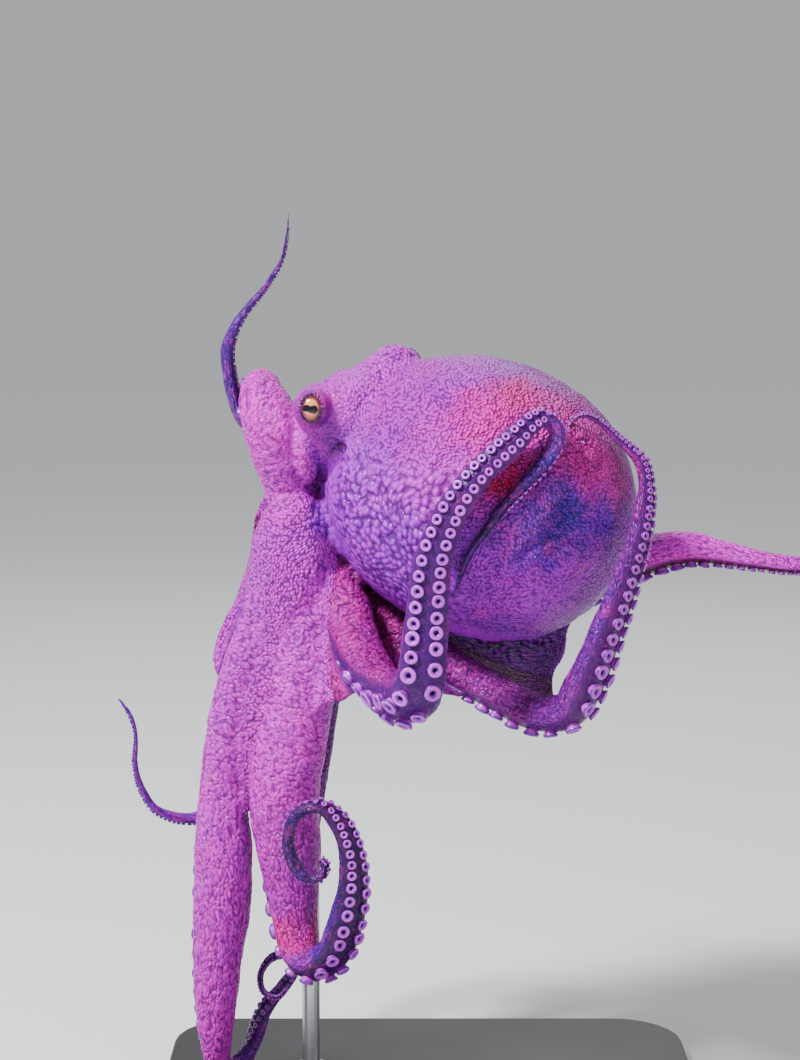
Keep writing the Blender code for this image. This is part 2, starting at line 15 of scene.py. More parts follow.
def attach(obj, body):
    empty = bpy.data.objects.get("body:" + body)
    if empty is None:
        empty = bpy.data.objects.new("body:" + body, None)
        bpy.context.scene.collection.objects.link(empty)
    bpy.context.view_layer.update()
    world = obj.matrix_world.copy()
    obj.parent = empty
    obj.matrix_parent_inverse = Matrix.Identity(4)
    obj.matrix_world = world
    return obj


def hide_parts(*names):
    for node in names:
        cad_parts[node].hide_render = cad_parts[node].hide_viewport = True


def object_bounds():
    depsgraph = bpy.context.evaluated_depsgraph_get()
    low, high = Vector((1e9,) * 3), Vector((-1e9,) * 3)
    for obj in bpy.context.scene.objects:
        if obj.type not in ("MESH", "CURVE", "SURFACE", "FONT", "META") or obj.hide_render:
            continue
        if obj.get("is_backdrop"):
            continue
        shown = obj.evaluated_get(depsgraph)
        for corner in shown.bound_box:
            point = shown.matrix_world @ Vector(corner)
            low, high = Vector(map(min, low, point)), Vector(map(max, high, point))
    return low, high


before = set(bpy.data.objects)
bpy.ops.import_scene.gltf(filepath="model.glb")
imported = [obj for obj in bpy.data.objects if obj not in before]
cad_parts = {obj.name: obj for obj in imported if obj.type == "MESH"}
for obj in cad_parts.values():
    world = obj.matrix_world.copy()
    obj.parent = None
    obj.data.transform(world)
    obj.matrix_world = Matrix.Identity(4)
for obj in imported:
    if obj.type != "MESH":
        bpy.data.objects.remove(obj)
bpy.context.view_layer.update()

MM = 0.001

# ---------------------------------------------------------------------------------------------
# Studio.  A pale floor, three soft boxes, and a camera 1.4 m in front of the animal that looks a
# little down at it.  The floor grows lighter far away, where the lamps no longer reach it.
# ---------------------------------------------------------------------------------------------
CAMERA_AIM = Vector((-20, 0, 390)) * MM
CAMERA_DISTANCE = 1.4
CAMERA_TILT = math.radians(7)
LENS_PER_SENSOR = 2.031887
SENSOR = 36

camera = bpy.data.objects.new("camera", bpy.data.cameras.new("camera"))
camera.data.sensor_width = SENSOR
camera.data.lens = SENSOR * LENS_PER_SENSOR
camera.location = CAMERA_AIM + CAMERA_DISTANCE * Vector((0, -math.cos(CAMERA_TILT), math.sin(CAMERA_TILT)))
camera.rotation_euler = (math.radians(90) - CAMERA_TILT, 0, 0)
bpy.context.scene.collection.objects.link(camera)
bpy.context.scene.camera = camera


def new_material(name, colour, roughness):
    """A material with its Principled shader, its output and its links at hand."""
    material = bpy.data.materials.new(name)
    material.use_nodes = True
    shader = material.node_tree.nodes["Principled BSDF"]
    shader.inputs["Base Color"].default_value = (*colour, 1)
    shader.inputs["Roughness"].default_value = roughness
    return material, material.node_tree, shader


def add_node(tree, kind, inputs=None, **settings):
    """A node with its settings; each input is given a value or another node's socket."""
    node = tree.nodes.new(kind)
    for name, value in settings.items():
        setattr(node, name, value)
    for name, value in (inputs or {}).items():
        if isinstance(value, bpy.types.NodeSocket):
            tree.links.new(value, node.inputs[name])
        else:
            node.inputs[name].default_value = value
    return node


def soft_box(name, place, aim, size, power):
    lamp = bpy.data.objects.new(name, bpy.data.lights.new(name, "AREA"))
    lamp.data.size = size
    lamp.data.energy = power
    lamp.location = place
    lamp.rotation_euler = (Vector(aim) - Vector(place)).to_track_quat("-Z", "Y").to_euler()
    bpy.context.scene.collection.objects.link(lamp)
    return lamp


soft_box("key_light", (-1.2, -0.9, 2.1), (0, 0, 0.38), 0.4, 120)
soft_box("fill_light", (1.7, -1.3, 0.9), (0, 0, 0.35), 1.3, 7)
soft_box("back_light", (0.4, 1.8, 1.5), (0, 0, 0.4), 1.2, 8)
world = bpy.data.worlds.new("studio")
world.use_nodes = True
world.node_tree.nodes["Background"].inputs["Color"].default_value = (0.92, 0.93, 0.95, 1)
world.node_tree.nodes["Background"].inputs["Strength"].default_value = 0.5
bpy.context.scene.world = world

ground = bmesh.new()
bmesh.ops.create_circle(ground, cap_ends=True, segments=64, radius=40)
ground_mesh = bpy.data.meshes.new("floor")
ground.to_mesh(ground_mesh)
ground.free()
floor = bpy.data.objects.new("floor", ground_mesh)
bpy.context.scene.collection.objects.link(floor)
floor_finish, floor_tree, floor_shader = new_material("pale floor", (0.80, 0.81, 0.82), 0.75)
floor_grit = add_node(floor_tree, "ShaderNodeTexNoise", {"Scale": 30.0}).outputs["Fac"]
floor_bump = add_node(floor_tree, "ShaderNodeBump", {"Strength": 0.05, "Height": floor_grit})
floor_tree.links.new(floor_bump.outputs["Normal"], floor_shader.inputs["Normal"])
floor_place = add_node(floor_tree, "ShaderNodeTexCoord").outputs["Object"]
floor_reach = add_node(floor_tree, "ShaderNodeVectorMath", {0: floor_place}, operation="LENGTH")
floor_fade = add_node(floor_tree, "ShaderNodeMapRange",
                      {"Value": floor_reach.outputs["Value"], "From Min": 1.5, "From Max": 7.0})
floor_tone = add_node(floor_tree, "ShaderNodeMix",
                      {"Factor": floor_fade.outputs["Result"], 6: (0.80, 0.81, 0.82, 1),
                       7: (0.98, 0.985, 0.99, 1)}, data_type="RGBA")
floor_tree.links.new(floor_tone.outputs[2], floor_shader.inputs["Base Color"])
ground_mesh.materials.append(floor_finish)
floor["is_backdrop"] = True

# ---------------------------------------------------------------------------------------------
# Display stand.  A lacquered board with a turned collar and one steel rod, which ends inside the
# crown of the arms.  Its shapes come with the frame and get their finishes here.
# ---------------------------------------------------------------------------------------------
board_finish, board_tree, board_shader = new_material("black lacquer", (0.012, 0.012, 0.014), 0.38)
board_shader.inputs["Coat Weight"].default_value = 0.35
board_shader.inputs["Coat Roughness"].default_value = 0.18
board_place = add_node(board_tree, "ShaderNodeTexCoord")
board_cloud = add_node(board_tree, "ShaderNodeTexNoise",
                       {"Vector": board_place.outputs["Object"], "Scale": 18.0, "Detail": 4.0})
board_rough = add_node(board_tree, "ShaderNodeMapRange",
                       {"Value": board_cloud.outputs["Fac"], "To Min": 0.30, "To Max": 0.46})
board_peel = add_node(board_tree, "ShaderNodeTexNoise",
                      {"Vector": board_place.outputs["Object"], "Scale": 420.0, "Detail": 1.0})
board_bump = add_node(board_tree, "ShaderNodeBump",
                      {"Height": board_peel.outputs["Fac"], "Strength": 0.06, "Distance": 0.0005})
board_tree.links.new(board_rough.outputs["Result"], board_shader.inputs["Roughness"])
board_tree.links.new(board_bump.outputs["Normal"], board_shader.inputs["Normal"])

steel_finish, steel_tree, steel_shader = new_material("brushed steel", (0.56, 0.56, 0.58), 0.3)
steel_shader.inputs["Metallic"].default_value = 1.0
steel_place = add_node(steel_tree, "ShaderNodeTexCoord")
steel_stretch = add_node(steel_tree, "ShaderNodeMapping", {"Vector": steel_place.outputs["Object"]})
steel_stretch.inputs["Scale"].default_value = (60, 60, 2400)
steel_lines = add_node(steel_tree, "ShaderNodeTexNoise",
                       {"Vector": steel_stretch.outputs["Vector"], "Scale": 1.0, "Detail": 2.0})
steel_rough = add_node(steel_tree, "ShaderNodeMapRange",
                       {"Value": steel_lines.outputs["Fac"], "To Min": 0.22, "To Max": 0.42})
steel_bump = add_node(steel_tree, "ShaderNodeBump",
                      {"Height": steel_lines.outputs["Fac"], "Strength": 0.12, "Distance": 0.0002})
steel_tree.links.new(steel_rough.outputs["Result"], steel_shader.inputs["Roughness"])
steel_tree.links.new(steel_bump.outputs["Normal"], steel_shader.inputs["Normal"])

for node, finish in (("stand_base", board_finish), ("stand_collar", steel_finish),
                     ("stand_rod", steel_finish)):
    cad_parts[node].data.materials.clear()
    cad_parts[node].data.materials.append(finish)

# ---------------------------------------------------------------------------------------------
# Arms.  Eight tapering limbs of muscle.  Each is lofted along its own centre line: points in
# millimetres with a width, and the ways that its suckers face at shares of its length.
# ---------------------------------------------------------------------------------------------
ARMS = {
    "arm_up": dict(
        route=((-85, 10, 393, 30), (-91, 2, 414, 31), (-95, -4, 436, 38), (-102, -8, 459, 38),
               (-108, 0, 475, 35), (-109, 15, 480, 27), (-107, 31, 473, 19), (-106, 43, 461, 15),
               (-114, 50, 452, 13), (-125, 46, 460, 12.5), (-130, 40, 476, 12), (-133, 36, 492, 11),
               (-133, 32, 509, 10), (-124, 30, 528, 7),
               (-108, 28, 547, 5), (-97, 26, 565, 3.5), (-93, 24, 585, 2.6), (-92, 22, 598, 2)),
        facing=((0, (-0.4, 1, 0)), (0.2, (-0.3, 1, 0)), (0.3, (-0.6, 0.8, 0)),
                (0.38, (-1, 0.2, -0.2)), (0.44, (-0.8, -0.2, 0.3)),
                (0.48, (0, -0.3, 1)), (0.52, (0.6, 0, 0.8)), (0.57, (1, 0.3, 0)), (1, (0.7, 0.7, 0.2)))),
    "arm_left": dict(
        route=((-91, 0, 380, 24), (-103, -11, 356, 24), (-114, -14, 327, 24), (-125, -15, 297, 24),
               (-133, -15, 254, 26), (-136, -14, 213, 31), (-136, -13, 180, 38), (-137, -12, 144, 38),
               (-140, -12, 112, 34), (-142, -12, 75, 28), (-142, -12, 50, 22), (-141, -9, 35, 17),
               (-136, -2, 26, 15), (-128, 6, 26, 14), (-121, 10, 36, 13), (-116, 10, 50, 12.5),
               (-110, 10, 65, 11.5), (-98, 12, 80, 9.5), (-91, 12, 91, 7.5), (-95, 10, 101, 6.5),
               (-106, 5, 101, 6), (-113, 0, 91, 5.5), (-110, -4, 80, 5), (-101, -6, 78, 4.5),
               (-95, -7, 84, 4)),
        facing=((0, (0, 1, 0)), (0.3, (-0.1, 1, 0)), (0.42, (-0.4, 0.9, 0)), (0.7, (-0.5, 0.85, 0)),
                (0.78, (-0.9, -0.4, 0.2)),
                (0.84, (-0.2, -1, 0.1)), (1, (0, -1, 0)))),
    "arm_front": dict(
        route=((-75, 0, 377, 32), (-76, -13, 346, 35), (-79, -19, 314, 38), (-83, -22, 282, 40),
               (-91, -22, 248, 43), (-95, -21, 215, 44), (-92, -20, 179, 40), (-90, -20, 148, 35),
               (-88, -23, 129, 31), (-84, -31, 115, 28), (-75, -42, 111, 27), (-63, -51, 122, 26),
               (-55, -54, 142, 25), (-50, -54, 166, 21.5), (-51, -54, 191, 17), (-58, -54, 209, 14.5),
               (-71, -54, 220, 11.5), (-84, -53, 216, 10.5), (-91, -52, 201, 9.6), (-89, -51, 184, 9),
               (-81, -50, 173, 8.3), (-72, -50, 172, 7.7), (-67, -50, 179, 6.8), (-71, -50, 185, 5.5)),
        facing=((0, (0, 1, 0)), (0.4, (-0.3, 1, 0)), (0.5, (-0.3, 0.2, -1)), (0.62, (0.6, -0.8, -0.1)),
                (0.75, (0.45, -0.8, 0.4)), (0.81, (-0.3, -0.3, 0.9)), (0.86, (-0.8, 0.5, 0.4)),
                (0.92, (-0.6, 0.85, 0)), (0.96, (0, 0.4, -1)), (1, (0.9, -0.6, 0.1)))),
    "arm_centre": dict(
        route=((-62, 4, 367, 29), (-53, -20, 341, 30), (-43, -46, 314, 32), (-28, -70, 297, 35),
               (-16, -91, 296, 33), (-9, -105, 306, 31), (-6, -107, 324, 28), (-5, -106, 340, 26.5),
               (-3, -107, 361, 24.5), (0, -109, 385, 22.5), (8, -111, 408, 20), (18, -112, 426, 18),
               (31, -110, 441, 16.5), (46, -105, 455, 16), (58, -99, 466, 13), (68, -92, 470, 11.5),
               (75, -91, 461, 11), (69, -96, 446, 11), (53, -103, 429, 10.2), (41, -105, 416, 9),
               (31, -104, 402, 7.8), (22, -101, 388, 6.4), (17, -97, 375, 4.8), (14, -93, 363, 3)),
        facing=((0, (0, 0.5, -1)), (0.18, (-0.2, -0.3, -1)), (0.26, (-0.1, -1, -0.4)), (0.34, (0, -1, 0)),
                (0.6, (-0.2, -1, 0.2)), (0.7, (0.7, -0.2, 0.7)), (0.76, (0.6, 0.8, -0.3)), (1, (0.2, 1, 0)))),
    "arm_right": dict(
        route=((-53, 22, 362, 27), (-23, 3, 328, 28), (12, -20, 305, 28), (44, -44, 289, 30),
               (70, -63, 281, 30), (86, -73, 285, 30), (94, -78, 300, 30), (101, -80, 318, 28),
               (108, -82, 339, 24.5), (115, -82, 357, 22), (121, -80, 375, 18.5), (127, -76, 393, 16.5),
               (131, -71, 411, 14), (132, -66, 429, 11), (129, -64, 441, 10), (121, -64, 449, 8),
               (112, -64, 457, 6.8), (104, -66, 464, 5.6), (95, -69, 469, 5), (88, -71, 468, 4.3),
               (83, -74, 461, 3.6), (86, -75, 454, 3.1), (93, -75, 453, 2.6), (97, -74, 459, 2.3)),
        facing=((0, (0, 0.5, -1)), (0.32, (0, -0.1, -1)), (0.42, (0.8, -0.4, -0.5)), (0.5, (0.9, -0.6, 0)),
                (0.75, (0.9, -0.5, 0.2)), (0.85, (0.4, -0.4, 0.8)), (0.93, (-0.3, -0.4, 0.9)),
                (1, (-0.9, -0.3, -0.4)))),
    "arm_rear_right": dict(
        route=((-62, 42, 383, 27), (-24, 72, 361, 30), (33, 88, 343, 32), (88, 84, 338, 33),
               (117, 76, 346, 34), (147, 65, 363, 34), (176, 56, 370, 27), (197, 50, 368, 21.5),
               (219, 45, 364, 16.5), (248, 40, 361, 14.5), (280, 35, 365, 12), (310, 28, 377, 8.8),
               (330, 20, 394, 6), (338, 14, 413, 4.2), (334, 10, 429, 3)),
        facing=((0, (0, 0.3, -1)), (0.75, (0.1, 0.1, -1)), (0.9, (0.7, 0, -0.7)), (1, (1, 0, 0)))),
    "arm_rear_left": dict(
        route=((-92, 34, 384, 25), (-113, 55, 352, 24), (-129, 69, 300, 23), (-138, 72, 250, 21),
               (-143, 60, 212, 15.5), (-149, 44, 194, 12), (-157, 33, 190, 9.2), (-170, 28, 191, 8),
               (-184, 24, 198, 7), (-193, 22, 212, 6), (-197, 20, 231, 5), (-196, 18, 252, 4),
               (-201, 16, 267, 3.2), (-208, 14, 277, 2)),
        facing=((0, (0.3, 1, 0)), (0.4, (0, 1, -0.3)), (0.6, (-0.3, 0, -1)), (0.8, (-1, 0.2, -0.2)),
                (1, (-1, 0.2, 0)))),
    "arm_rear": dict(
        route=((-72, 44, 374, 25.5), (-66, 60, 322, 24.5), (-73, 62, 265, 23), (-80, 53, 211, 20.5),
               (-87, 45, 157, 18), (-90, 41, 106, 15), (-90, 48, 86, 13), (-88, 61, 80, 11.5),
               (-86, 72, 93, 10), (-85, 77, 120, 8.5), (-87, 75, 150, 6.5), (-90, 68, 178, 4.7),
               (-92, 60, 194, 3.4)),
        facing=((0, (0.3, 1, 0)), (0.63, (0, 1, 0)), (0.71, (0, 0, 1)), (0.8, (0, -1, 0)),
                (1, (0, -1, 0.2)))),
}
STATION = 1.0
SAMPLES_BETWEEN_POINTS = 11
ARM_SIDES = 28
RING_SPACING = 0.12
BACK_DEPTH = 0.43
SUCKER_SIDE_DEPTH = 0.34
EDGE_CREST = 0.07
BEND_CLEAR = 0.65


def along_curve(route):
    """Dense points and widths on a smooth curve through a route."""
    knots = [Vector(row[:3]) for row in route]
    runs = [(b - a).length for a, b in zip(knots, knots[1:])]
    slopes = [(knots[1] - knots[0]) / runs[0]]
    for i in range(1, len(knots) - 1):
        before = (knots[i] - knots[i - 1]) / runs[i - 1]
        after = (knots[i + 1] - knots[i]) / runs[i]
        slopes.append((before * runs[i] + after * runs[i - 1]) / (runs[i] + runs[i - 1]))
    slopes.append((knots[-1] - knots[-2]) / runs[-1])
    rows = []
    for i, run in enumerate(runs):
        stretch = interpolate_bezier(knots[i], knots[i] + slopes[i] * run / 3,
                                     knots[i + 1] - slopes[i + 1] * run / 3, knots[i + 1],
                                     SAMPLES_BETWEEN_POINTS + 1)
        for k, point in enumerate(stretch[:-1]):
            share = k / SAMPLES_BETWEEN_POINTS
            rows.append((*point, route[i][3] + (route[i + 1][3] - route[i][3]) * share))
    rows.append(route[-1])
    return np.array(rows)


def unit(rows):
    return rows / np.maximum(np.linalg.norm(rows, axis=1, keepdims=True), 1e-9)


class Limb:
    """An arm's centre line at even stations: place, width, and the ways along, across and out."""

    def __init__(self, name, arm):
        rows = along_curve(arm["route"])
        steps = np.linalg.norm(np.diff(rows[:, :3], axis=0), axis=1)
        distance = np.concatenate([[0], np.cumsum(steps)])
        self.name = name
        self.length = distance[-1]
        self.station = np.arange(0, self.length, STATION)
        columns = [np.interp(self.station, distance, rows[:, k]) for k in range(4)]
        self.place = np.column_stack(columns[:3])
        self.width = columns[3]
        self.forward = unit(np.gradient(self.place, axis=0))
        shares = [share for share, _ in arm["facing"]]
        ways = unit(np.array([way for _, way in arm["facing"]], dtype=float))
        out = np.column_stack([np.interp(self.station / self.length, shares, ways[:, k]) for k in range(3)])
        self.out = unit(out - self.forward * np.sum(out * self.forward, axis=1, keepdims=True))
        self.across = np.cross(self.forward, self.out)
        self.bend = np.gradient(self.forward, STATION, axis=0)

    def at(self, distance):
        """Index of the station at a distance along the arm."""
        return int(min(max(round(distance / STATION), 0), len(self.station) - 1))


def section(limb, i):
    """The points of an arm's section: round at the back, flatter at the suckers, crested edges."""
    width = limb.width[i]
    turn = np.arange(ARM_SIDES) * 2 * math.pi / ARM_SIDES
    depth = np.where(np.sin(turn) > 0, SUCKER_SIDE_DEPTH, BACK_DEPTH)
    crest = 1 + EDGE_CREST * np.exp(-(np.sin(turn) / 0.25) ** 2)
    points = np.outer(np.cos(turn) * crest * 0.5, limb.across[i])
    points = (points + np.outer(np.sin(turn) * depth, limb.out[i])) * width
    tightness = np.linalg.norm(limb.bend[i])
    if tightness > 1e-4:
        inward = limb.bend[i] / tightness
        excess = np.maximum(points @ inward - BEND_CLEAR / tightness, 0)
        points -= np.outer(excess, inward)
    return (limb.place[i] + points) * MM


def loft_arm(limb):
    """An arm as a grid wrapped round its sections and closed at both ends."""
    stations = [0]
    while stations[-1] < len(limb.station) - 1:
        step = max(1, round(RING_SPACING * limb.width[stations[-1]] / STATION))
        stations.append(min(stations[-1] + step, len(limb.station) - 1))
    rings = [section(limb, i) for i in stations]
    form = bmesh.new()
    bmesh.ops.create_grid(form, x_segments=ARM_SIDES, y_segments=len(rings) - 1, size=0.5)
    for vert in form.verts:
        side = round((vert.co.x + 0.5) * ARM_SIDES) % ARM_SIDES
        vert.co = rings[round((vert.co.y + 0.5) * (len(rings) - 1))][side]
    bmesh.ops.remove_doubles(form, verts=form.verts, dist=0.01 * MM)
    bmesh.ops.holes_fill(form, edges=form.edges)
    bmesh.ops.recalc_face_normals(form, faces=form.faces)
    return form


def gather(form, part):
    """Moves a finished part into the form that holds all the flesh."""
    mesh = bpy.data.meshes.new("part")
    part.to_mesh(mesh)
    part.free()
    form.from_mesh(mesh)
    bpy.data.meshes.remove(mesh)


limbs = {name: Limb(name, arm) for name, arm in ARMS.items()}
flesh = bmesh.new()
for limb in limbs.values():
    gather(flesh, loft_arm(limb))

# ---------------------------------------------------------------------------------------------
# Webs.  A thin sheet of skin joins each two arms.  Each is a grid between their centre lines,
# given folds and a scalloped free edge, and thickened.
# ---------------------------------------------------------------------------------------------
CROWN_CENTRE = Vector((-79, 10, 384))
CROWN_RADII = Vector((31, 31, 33))
WEB_THICKNESS = 2.8
WEB_CELLS = 30
WEB_START = 14
# First arm, second arm, reach along each, how far the free edge is drawn in, swell and its way, how
# near the second arm it swells most, which side of the arms it grows from and how far, and folds.
WEBS = (
    ("arm_up", "arm_left", 30, 108, 0, 25, (-0.9, 0.3, -0.25), 2, (0, 0, 0), 3),
    ("arm_left", "arm_front", 190, 180, 0.03, 2, (0, 1, 0), 1, (0, -0.30, 0), 2),
    ("arm_front", "arm_centre", 109, 104, 0.02, 8, (0.1, -1, 0.1), 1, (0.25, -0.35, 0.1), 5),
    ("arm_centre", "arm_right", 118, 128, 0.08, 8, (0, 0, -1), 1, (0, 0, -0.2), 5),
    ("arm_right", "arm_rear_right", 182, 200, 0.06, 10, (0, 0, -1), 1, (0, 0, 0), 4),
    ("arm_rear_right", "arm_rear", 90, 90, 0.35, 8, (0.3, 0.3, -1), 1, (0, 0, 0), 6),
    ("arm_rear", "arm_rear_left", 120, 110, 0.3, 8, (0, 1, 0), 1, (0, 0, 0), 5),
    ("arm_rear_left", "arm_up", 75, 55, 0.1, 12, (-1, 0.3, 0), 1, (0, 0, 0), 4),
)
FOLD_HEIGHT = 1.0
SCALLOP = 0.012


def web_point(web, across, out):
    """Place on a web, from one arm to the other and from the crown out to the free edge."""
    first, second, reach_first, reach_second, notch, swell, billow, lean, side, folds = web
    arch = math.sin(math.pi * across ** lean)
    ends = []
    for name, reach in ((first, reach_first), (second, reach_second)):
        limb = limbs[name]
        i = limb.at(WEB_START + (reach - WEB_START) * out)
        ends.append(Vector(limb.place[i]) + Vector(side) * limb.width[i] * (1 - 0.5 * out ** 4))
    point = ends[0].lerp(ends[1], across)
    fold = math.sin(folds * math.pi * across + 2.1 * math.sin(3 * out)) * FOLD_HEIGHT
    scallop = SCALLOP * math.cos(folds * math.pi * across) * out ** 4
    point = CROWN_CENTRE + (point - CROWN_CENTRE) * (1 + arch * (scallop - notch * out))
    return point + Vector(billow).normalized() * (swell * out + fold * out) * arch


for row in WEBS:
    web = bmesh.new()
    bmesh.ops.create_grid(web, x_segments=WEB_CELLS, y_segments=WEB_CELLS, size=0.5)
    for vert in web.verts:
        vert.co = web_point(row, vert.co.x + 0.5, vert.co.y + 0.5) * MM
    web.normal_update()
    inner = list(web.verts)
    outer = bmesh.ops.duplicate(web, geom=web.verts[:] + web.edges[:] + web.faces[:])["vert_map"]
    for vert in inner:
        offset = vert.normal * WEB_THICKNESS / 2 * MM
        outer[vert].co += offset
        vert.co -= offset
    bmesh.ops.bridge_loops(web, edges=[edge for edge in web.edges if edge.is_boundary])
    bmesh.ops.recalc_face_normals(web, faces=web.faces)
    gather(flesh, web)

# ---------------------------------------------------------------------------------------------
# Mantle.  The muscular bag behind the head that holds the organs.  A ball drawn out along its
# axis, a little square in outline, wider at the far end and raised along its back.
# ---------------------------------------------------------------------------------------------
MANTLE_CENTRE = Vector((29, -8, 412))
MANTLE_AXIS = Vector((0.80, -0.55, -0.26)).normalized()
MANTLE_HALF_LENGTH = 103
MANTLE_RADIUS = 86.5
MANTLE_TAPER = 0.04
MANTLE_ROUNDNESS = 2.25
MANTLE_BACK = Vector((0.25, 0, 1)).normalized()
MANTLE_BACK_RISE = 0.05

mantle_turn = MANTLE_AXIS.to_track_quat("Z", "Y")
mantle = bmesh.new()
bmesh.ops.create_uvsphere(mantle, u_segments=96, v_segments=72, radius=1)
for vert in mantle.verts:
    way = vert.co.normalized()
    girth = max(0.0, 1 - abs(way.z) ** MANTLE_ROUNDNESS) ** (1 / MANTLE_ROUNDNESS)
    girth *= MANTLE_RADIUS * (1 + MANTLE_TAPER * way.z)
    around = Vector((way.x, way.y, 0))
    if around.length > 0:
        around.normalize()
    place = mantle_turn @ around * girth + MANTLE_AXIS * way.z * MANTLE_HALF_LENGTH
    back = max(0.0, place.normalized().dot(MANTLE_BACK))
    vert.co = (MANTLE_CENTRE + place * (1 + MANTLE_BACK_RISE * back ** 3)) * MM
gather(flesh, mantle)

# ---------------------------------------------------------------------------------------------
# Head and crown.  The head stands up from the ring of arms, with a mound for each eye; the crown
# is the muscle round the mouth that all the arms grow from.
# ---------------------------------------------------------------------------------------------
HEAD_CENTRE = Vector((-48, -1, 462))
HEAD_RADII = Vector((31, 33, 33))
HEAD_CHIN = 48
EYE_MOUND_SPREAD = math.radians(26)
MOUNDS = ((Vector((-26, -28, 10)), 23), (Vector((28, 21, 33)), 34))

head = bmesh.new()
bmesh.ops.create_uvsphere(head, u_segments=72, v_segments=54, radius=1)
for vert in head.verts:
    way = vert.co.normalized()
    place = Vector((way.x * HEAD_RADII.x, way.y * HEAD_RADII.y,
                    way.z * (HEAD_CHIN if way.z < 0 else HEAD_RADII.z)))
    for mound, height in MOUNDS:
        spread = place.angle(mound) / EYE_MOUND_SPREAD
        place += place.normalized() * height * math.exp(-spread * spread)
    vert.co = (HEAD_CENTRE + place) * MM
gather(flesh, head)

crown = bmesh.new()
bmesh.ops.create_uvsphere(crown, u_segments=48, v_segments=32, radius=1)
for vert in crown.verts:
    vert.co = Vector([CROWN_CENTRE[k] + vert.co[k] * CROWN_RADII[k] for k in range(3)]) * MM
gather(flesh, crown)

# Bodies of muscle and skin that fill the hollows between the crown, the neck and the front arms.
FILLERS = ((Vector((-91, -8, 356)), Vector((29, 24, 62)), 0.06),
           (Vector((-62, 18, 424)), Vector((24, 21, 30)), 0.0),
           (Vector((-80, -4, 446)), Vector((13, 20, 26)), 0.0))
for centre, radii, tilt in FILLERS:
    filler = bmesh.new()
    bmesh.ops.create_uvsphere(filler, u_segments=48, v_segments=36, radius=1)
    bmesh.ops.scale(filler, verts=filler.verts, vec=radii)
    bmesh.ops.rotate(filler, verts=filler.verts, cent=(0, 0, 0), matrix=Matrix.Rotation(tilt, 3, "Y"))
    for vert in filler.verts:
        vert.co = (centre + vert.co) * MM
    gather(flesh, filler)

# ---------------------------------------------------------------------------------------------
# Siphon.  The funnel under the head that the animal swims with: a tapered tube, open at its mouth.
# ---------------------------------------------------------------------------------------------
SIPHON_BASE = Vector((-46, 38, 432))
SIPHON_MOUTH = Vector((-84, 66, 408))
SIPHON_PROFILE = ((0, 0), (15, 0), (12, 0.45), (8.6, 0.85), (7.9, 0.97), (7.0, 1.0), (5.6, 0.96), (5, 0.8),
                  (6, 0.35), (0, 0.3))

siphon = bmesh.new()
depth = (SIPHON_MOUTH - SIPHON_BASE).length
corners = [siphon.verts.new((radius, 0, depth * share)) for radius, share in SIPHON_PROFILE]
line = [siphon.edges.new(pair) for pair in zip(corners, corners[1:])]
bmesh.ops.spin(siphon, geom=corners + line, cent=(0, 0, 0), axis=(0, 0, 1), angle=2 * math.pi, steps=32,
               use_merge=True)
bmesh.ops.remove_doubles(siphon, verts=siphon.verts, dist=0.01)
bmesh.ops.recalc_face_normals(siphon, faces=siphon.faces)
siphon_turn = (SIPHON_MOUTH - SIPHON_BASE).to_track_quat("Z", "Y")
for vert in siphon.verts:
    vert.co = (SIPHON_BASE + siphon_turn @ vert.co) * MM
gather(flesh, siphon)

# ---------------------------------------------------------------------------------------------
# Skin.  All the flesh under one skin: the forms are fused, smoothed where they meet, and thinned.
# ---------------------------------------------------------------------------------------------
VOXEL = 1.3
SKIN_TRIANGLES = 190000
SMOOTH_PASSES = 6
MELT_PASSES = 60
SOFT_PLACES = (((-84, 12, 352), 60), ((-25, 0, 478), 45), ((-45, -25, 300), 60), ((-140, -10, 310), 40))


def applied(obj):
    """Turns an object's modifiers into its mesh."""
    bpy.context.view_layer.update()
    mesh = bpy.data.meshes.new_from_object(obj.evaluated_get(bpy.context.evaluated_depsgraph_get()))
    obj.modifiers.clear()
    old = obj.data
    obj.data = mesh
    bpy.data.meshes.remove(old)


skin_mesh = bpy.data.meshes.new("skin")
flesh.to_mesh(skin_mesh)
flesh.free()
skin = bpy.data.objects.new("skin", skin_mesh)
bpy.context.scene.collection.objects.link(skin)
fuse = skin.modifiers.new("fuse", "REMESH")
fuse.mode = "VOXEL"
fuse.voxel_size = VOXEL * MM
applied(skin)


def points_of(mesh):
    """Vertex places in millimetres, and vertex normals."""
    places = np.empty(len(mesh.vertices) * 3, dtype=np.float32)
    mesh.vertices.foreach_get("co", places)
    normals = np.empty_like(places)
    mesh.vertex_normals.foreach_get("vector", normals)
    return places.reshape(-1, 3) / MM, normals.reshape(-1, 3)


def ease(low, high, values):
    """A smooth step from 0 at low to 1 at high."""
    share = np.clip((values - low) / (high - low), 0, 1)
    return share * share * (3 - 2 * share)


def waves(places, length, seed):
    """Soft noise from -1 to 1 with swells of about one length."""
    rng = np.random.default_rng(seed)
    total = 0
    for _ in range(7):
        way = rng.normal(size=3)
        way *= rng.uniform(0.7, 1.5) * 2 * math.pi / length / np.linalg.norm(way)
        total = total + np.sin(places @ way + rng.uniform(0, 6.3))
    return total / 3.2


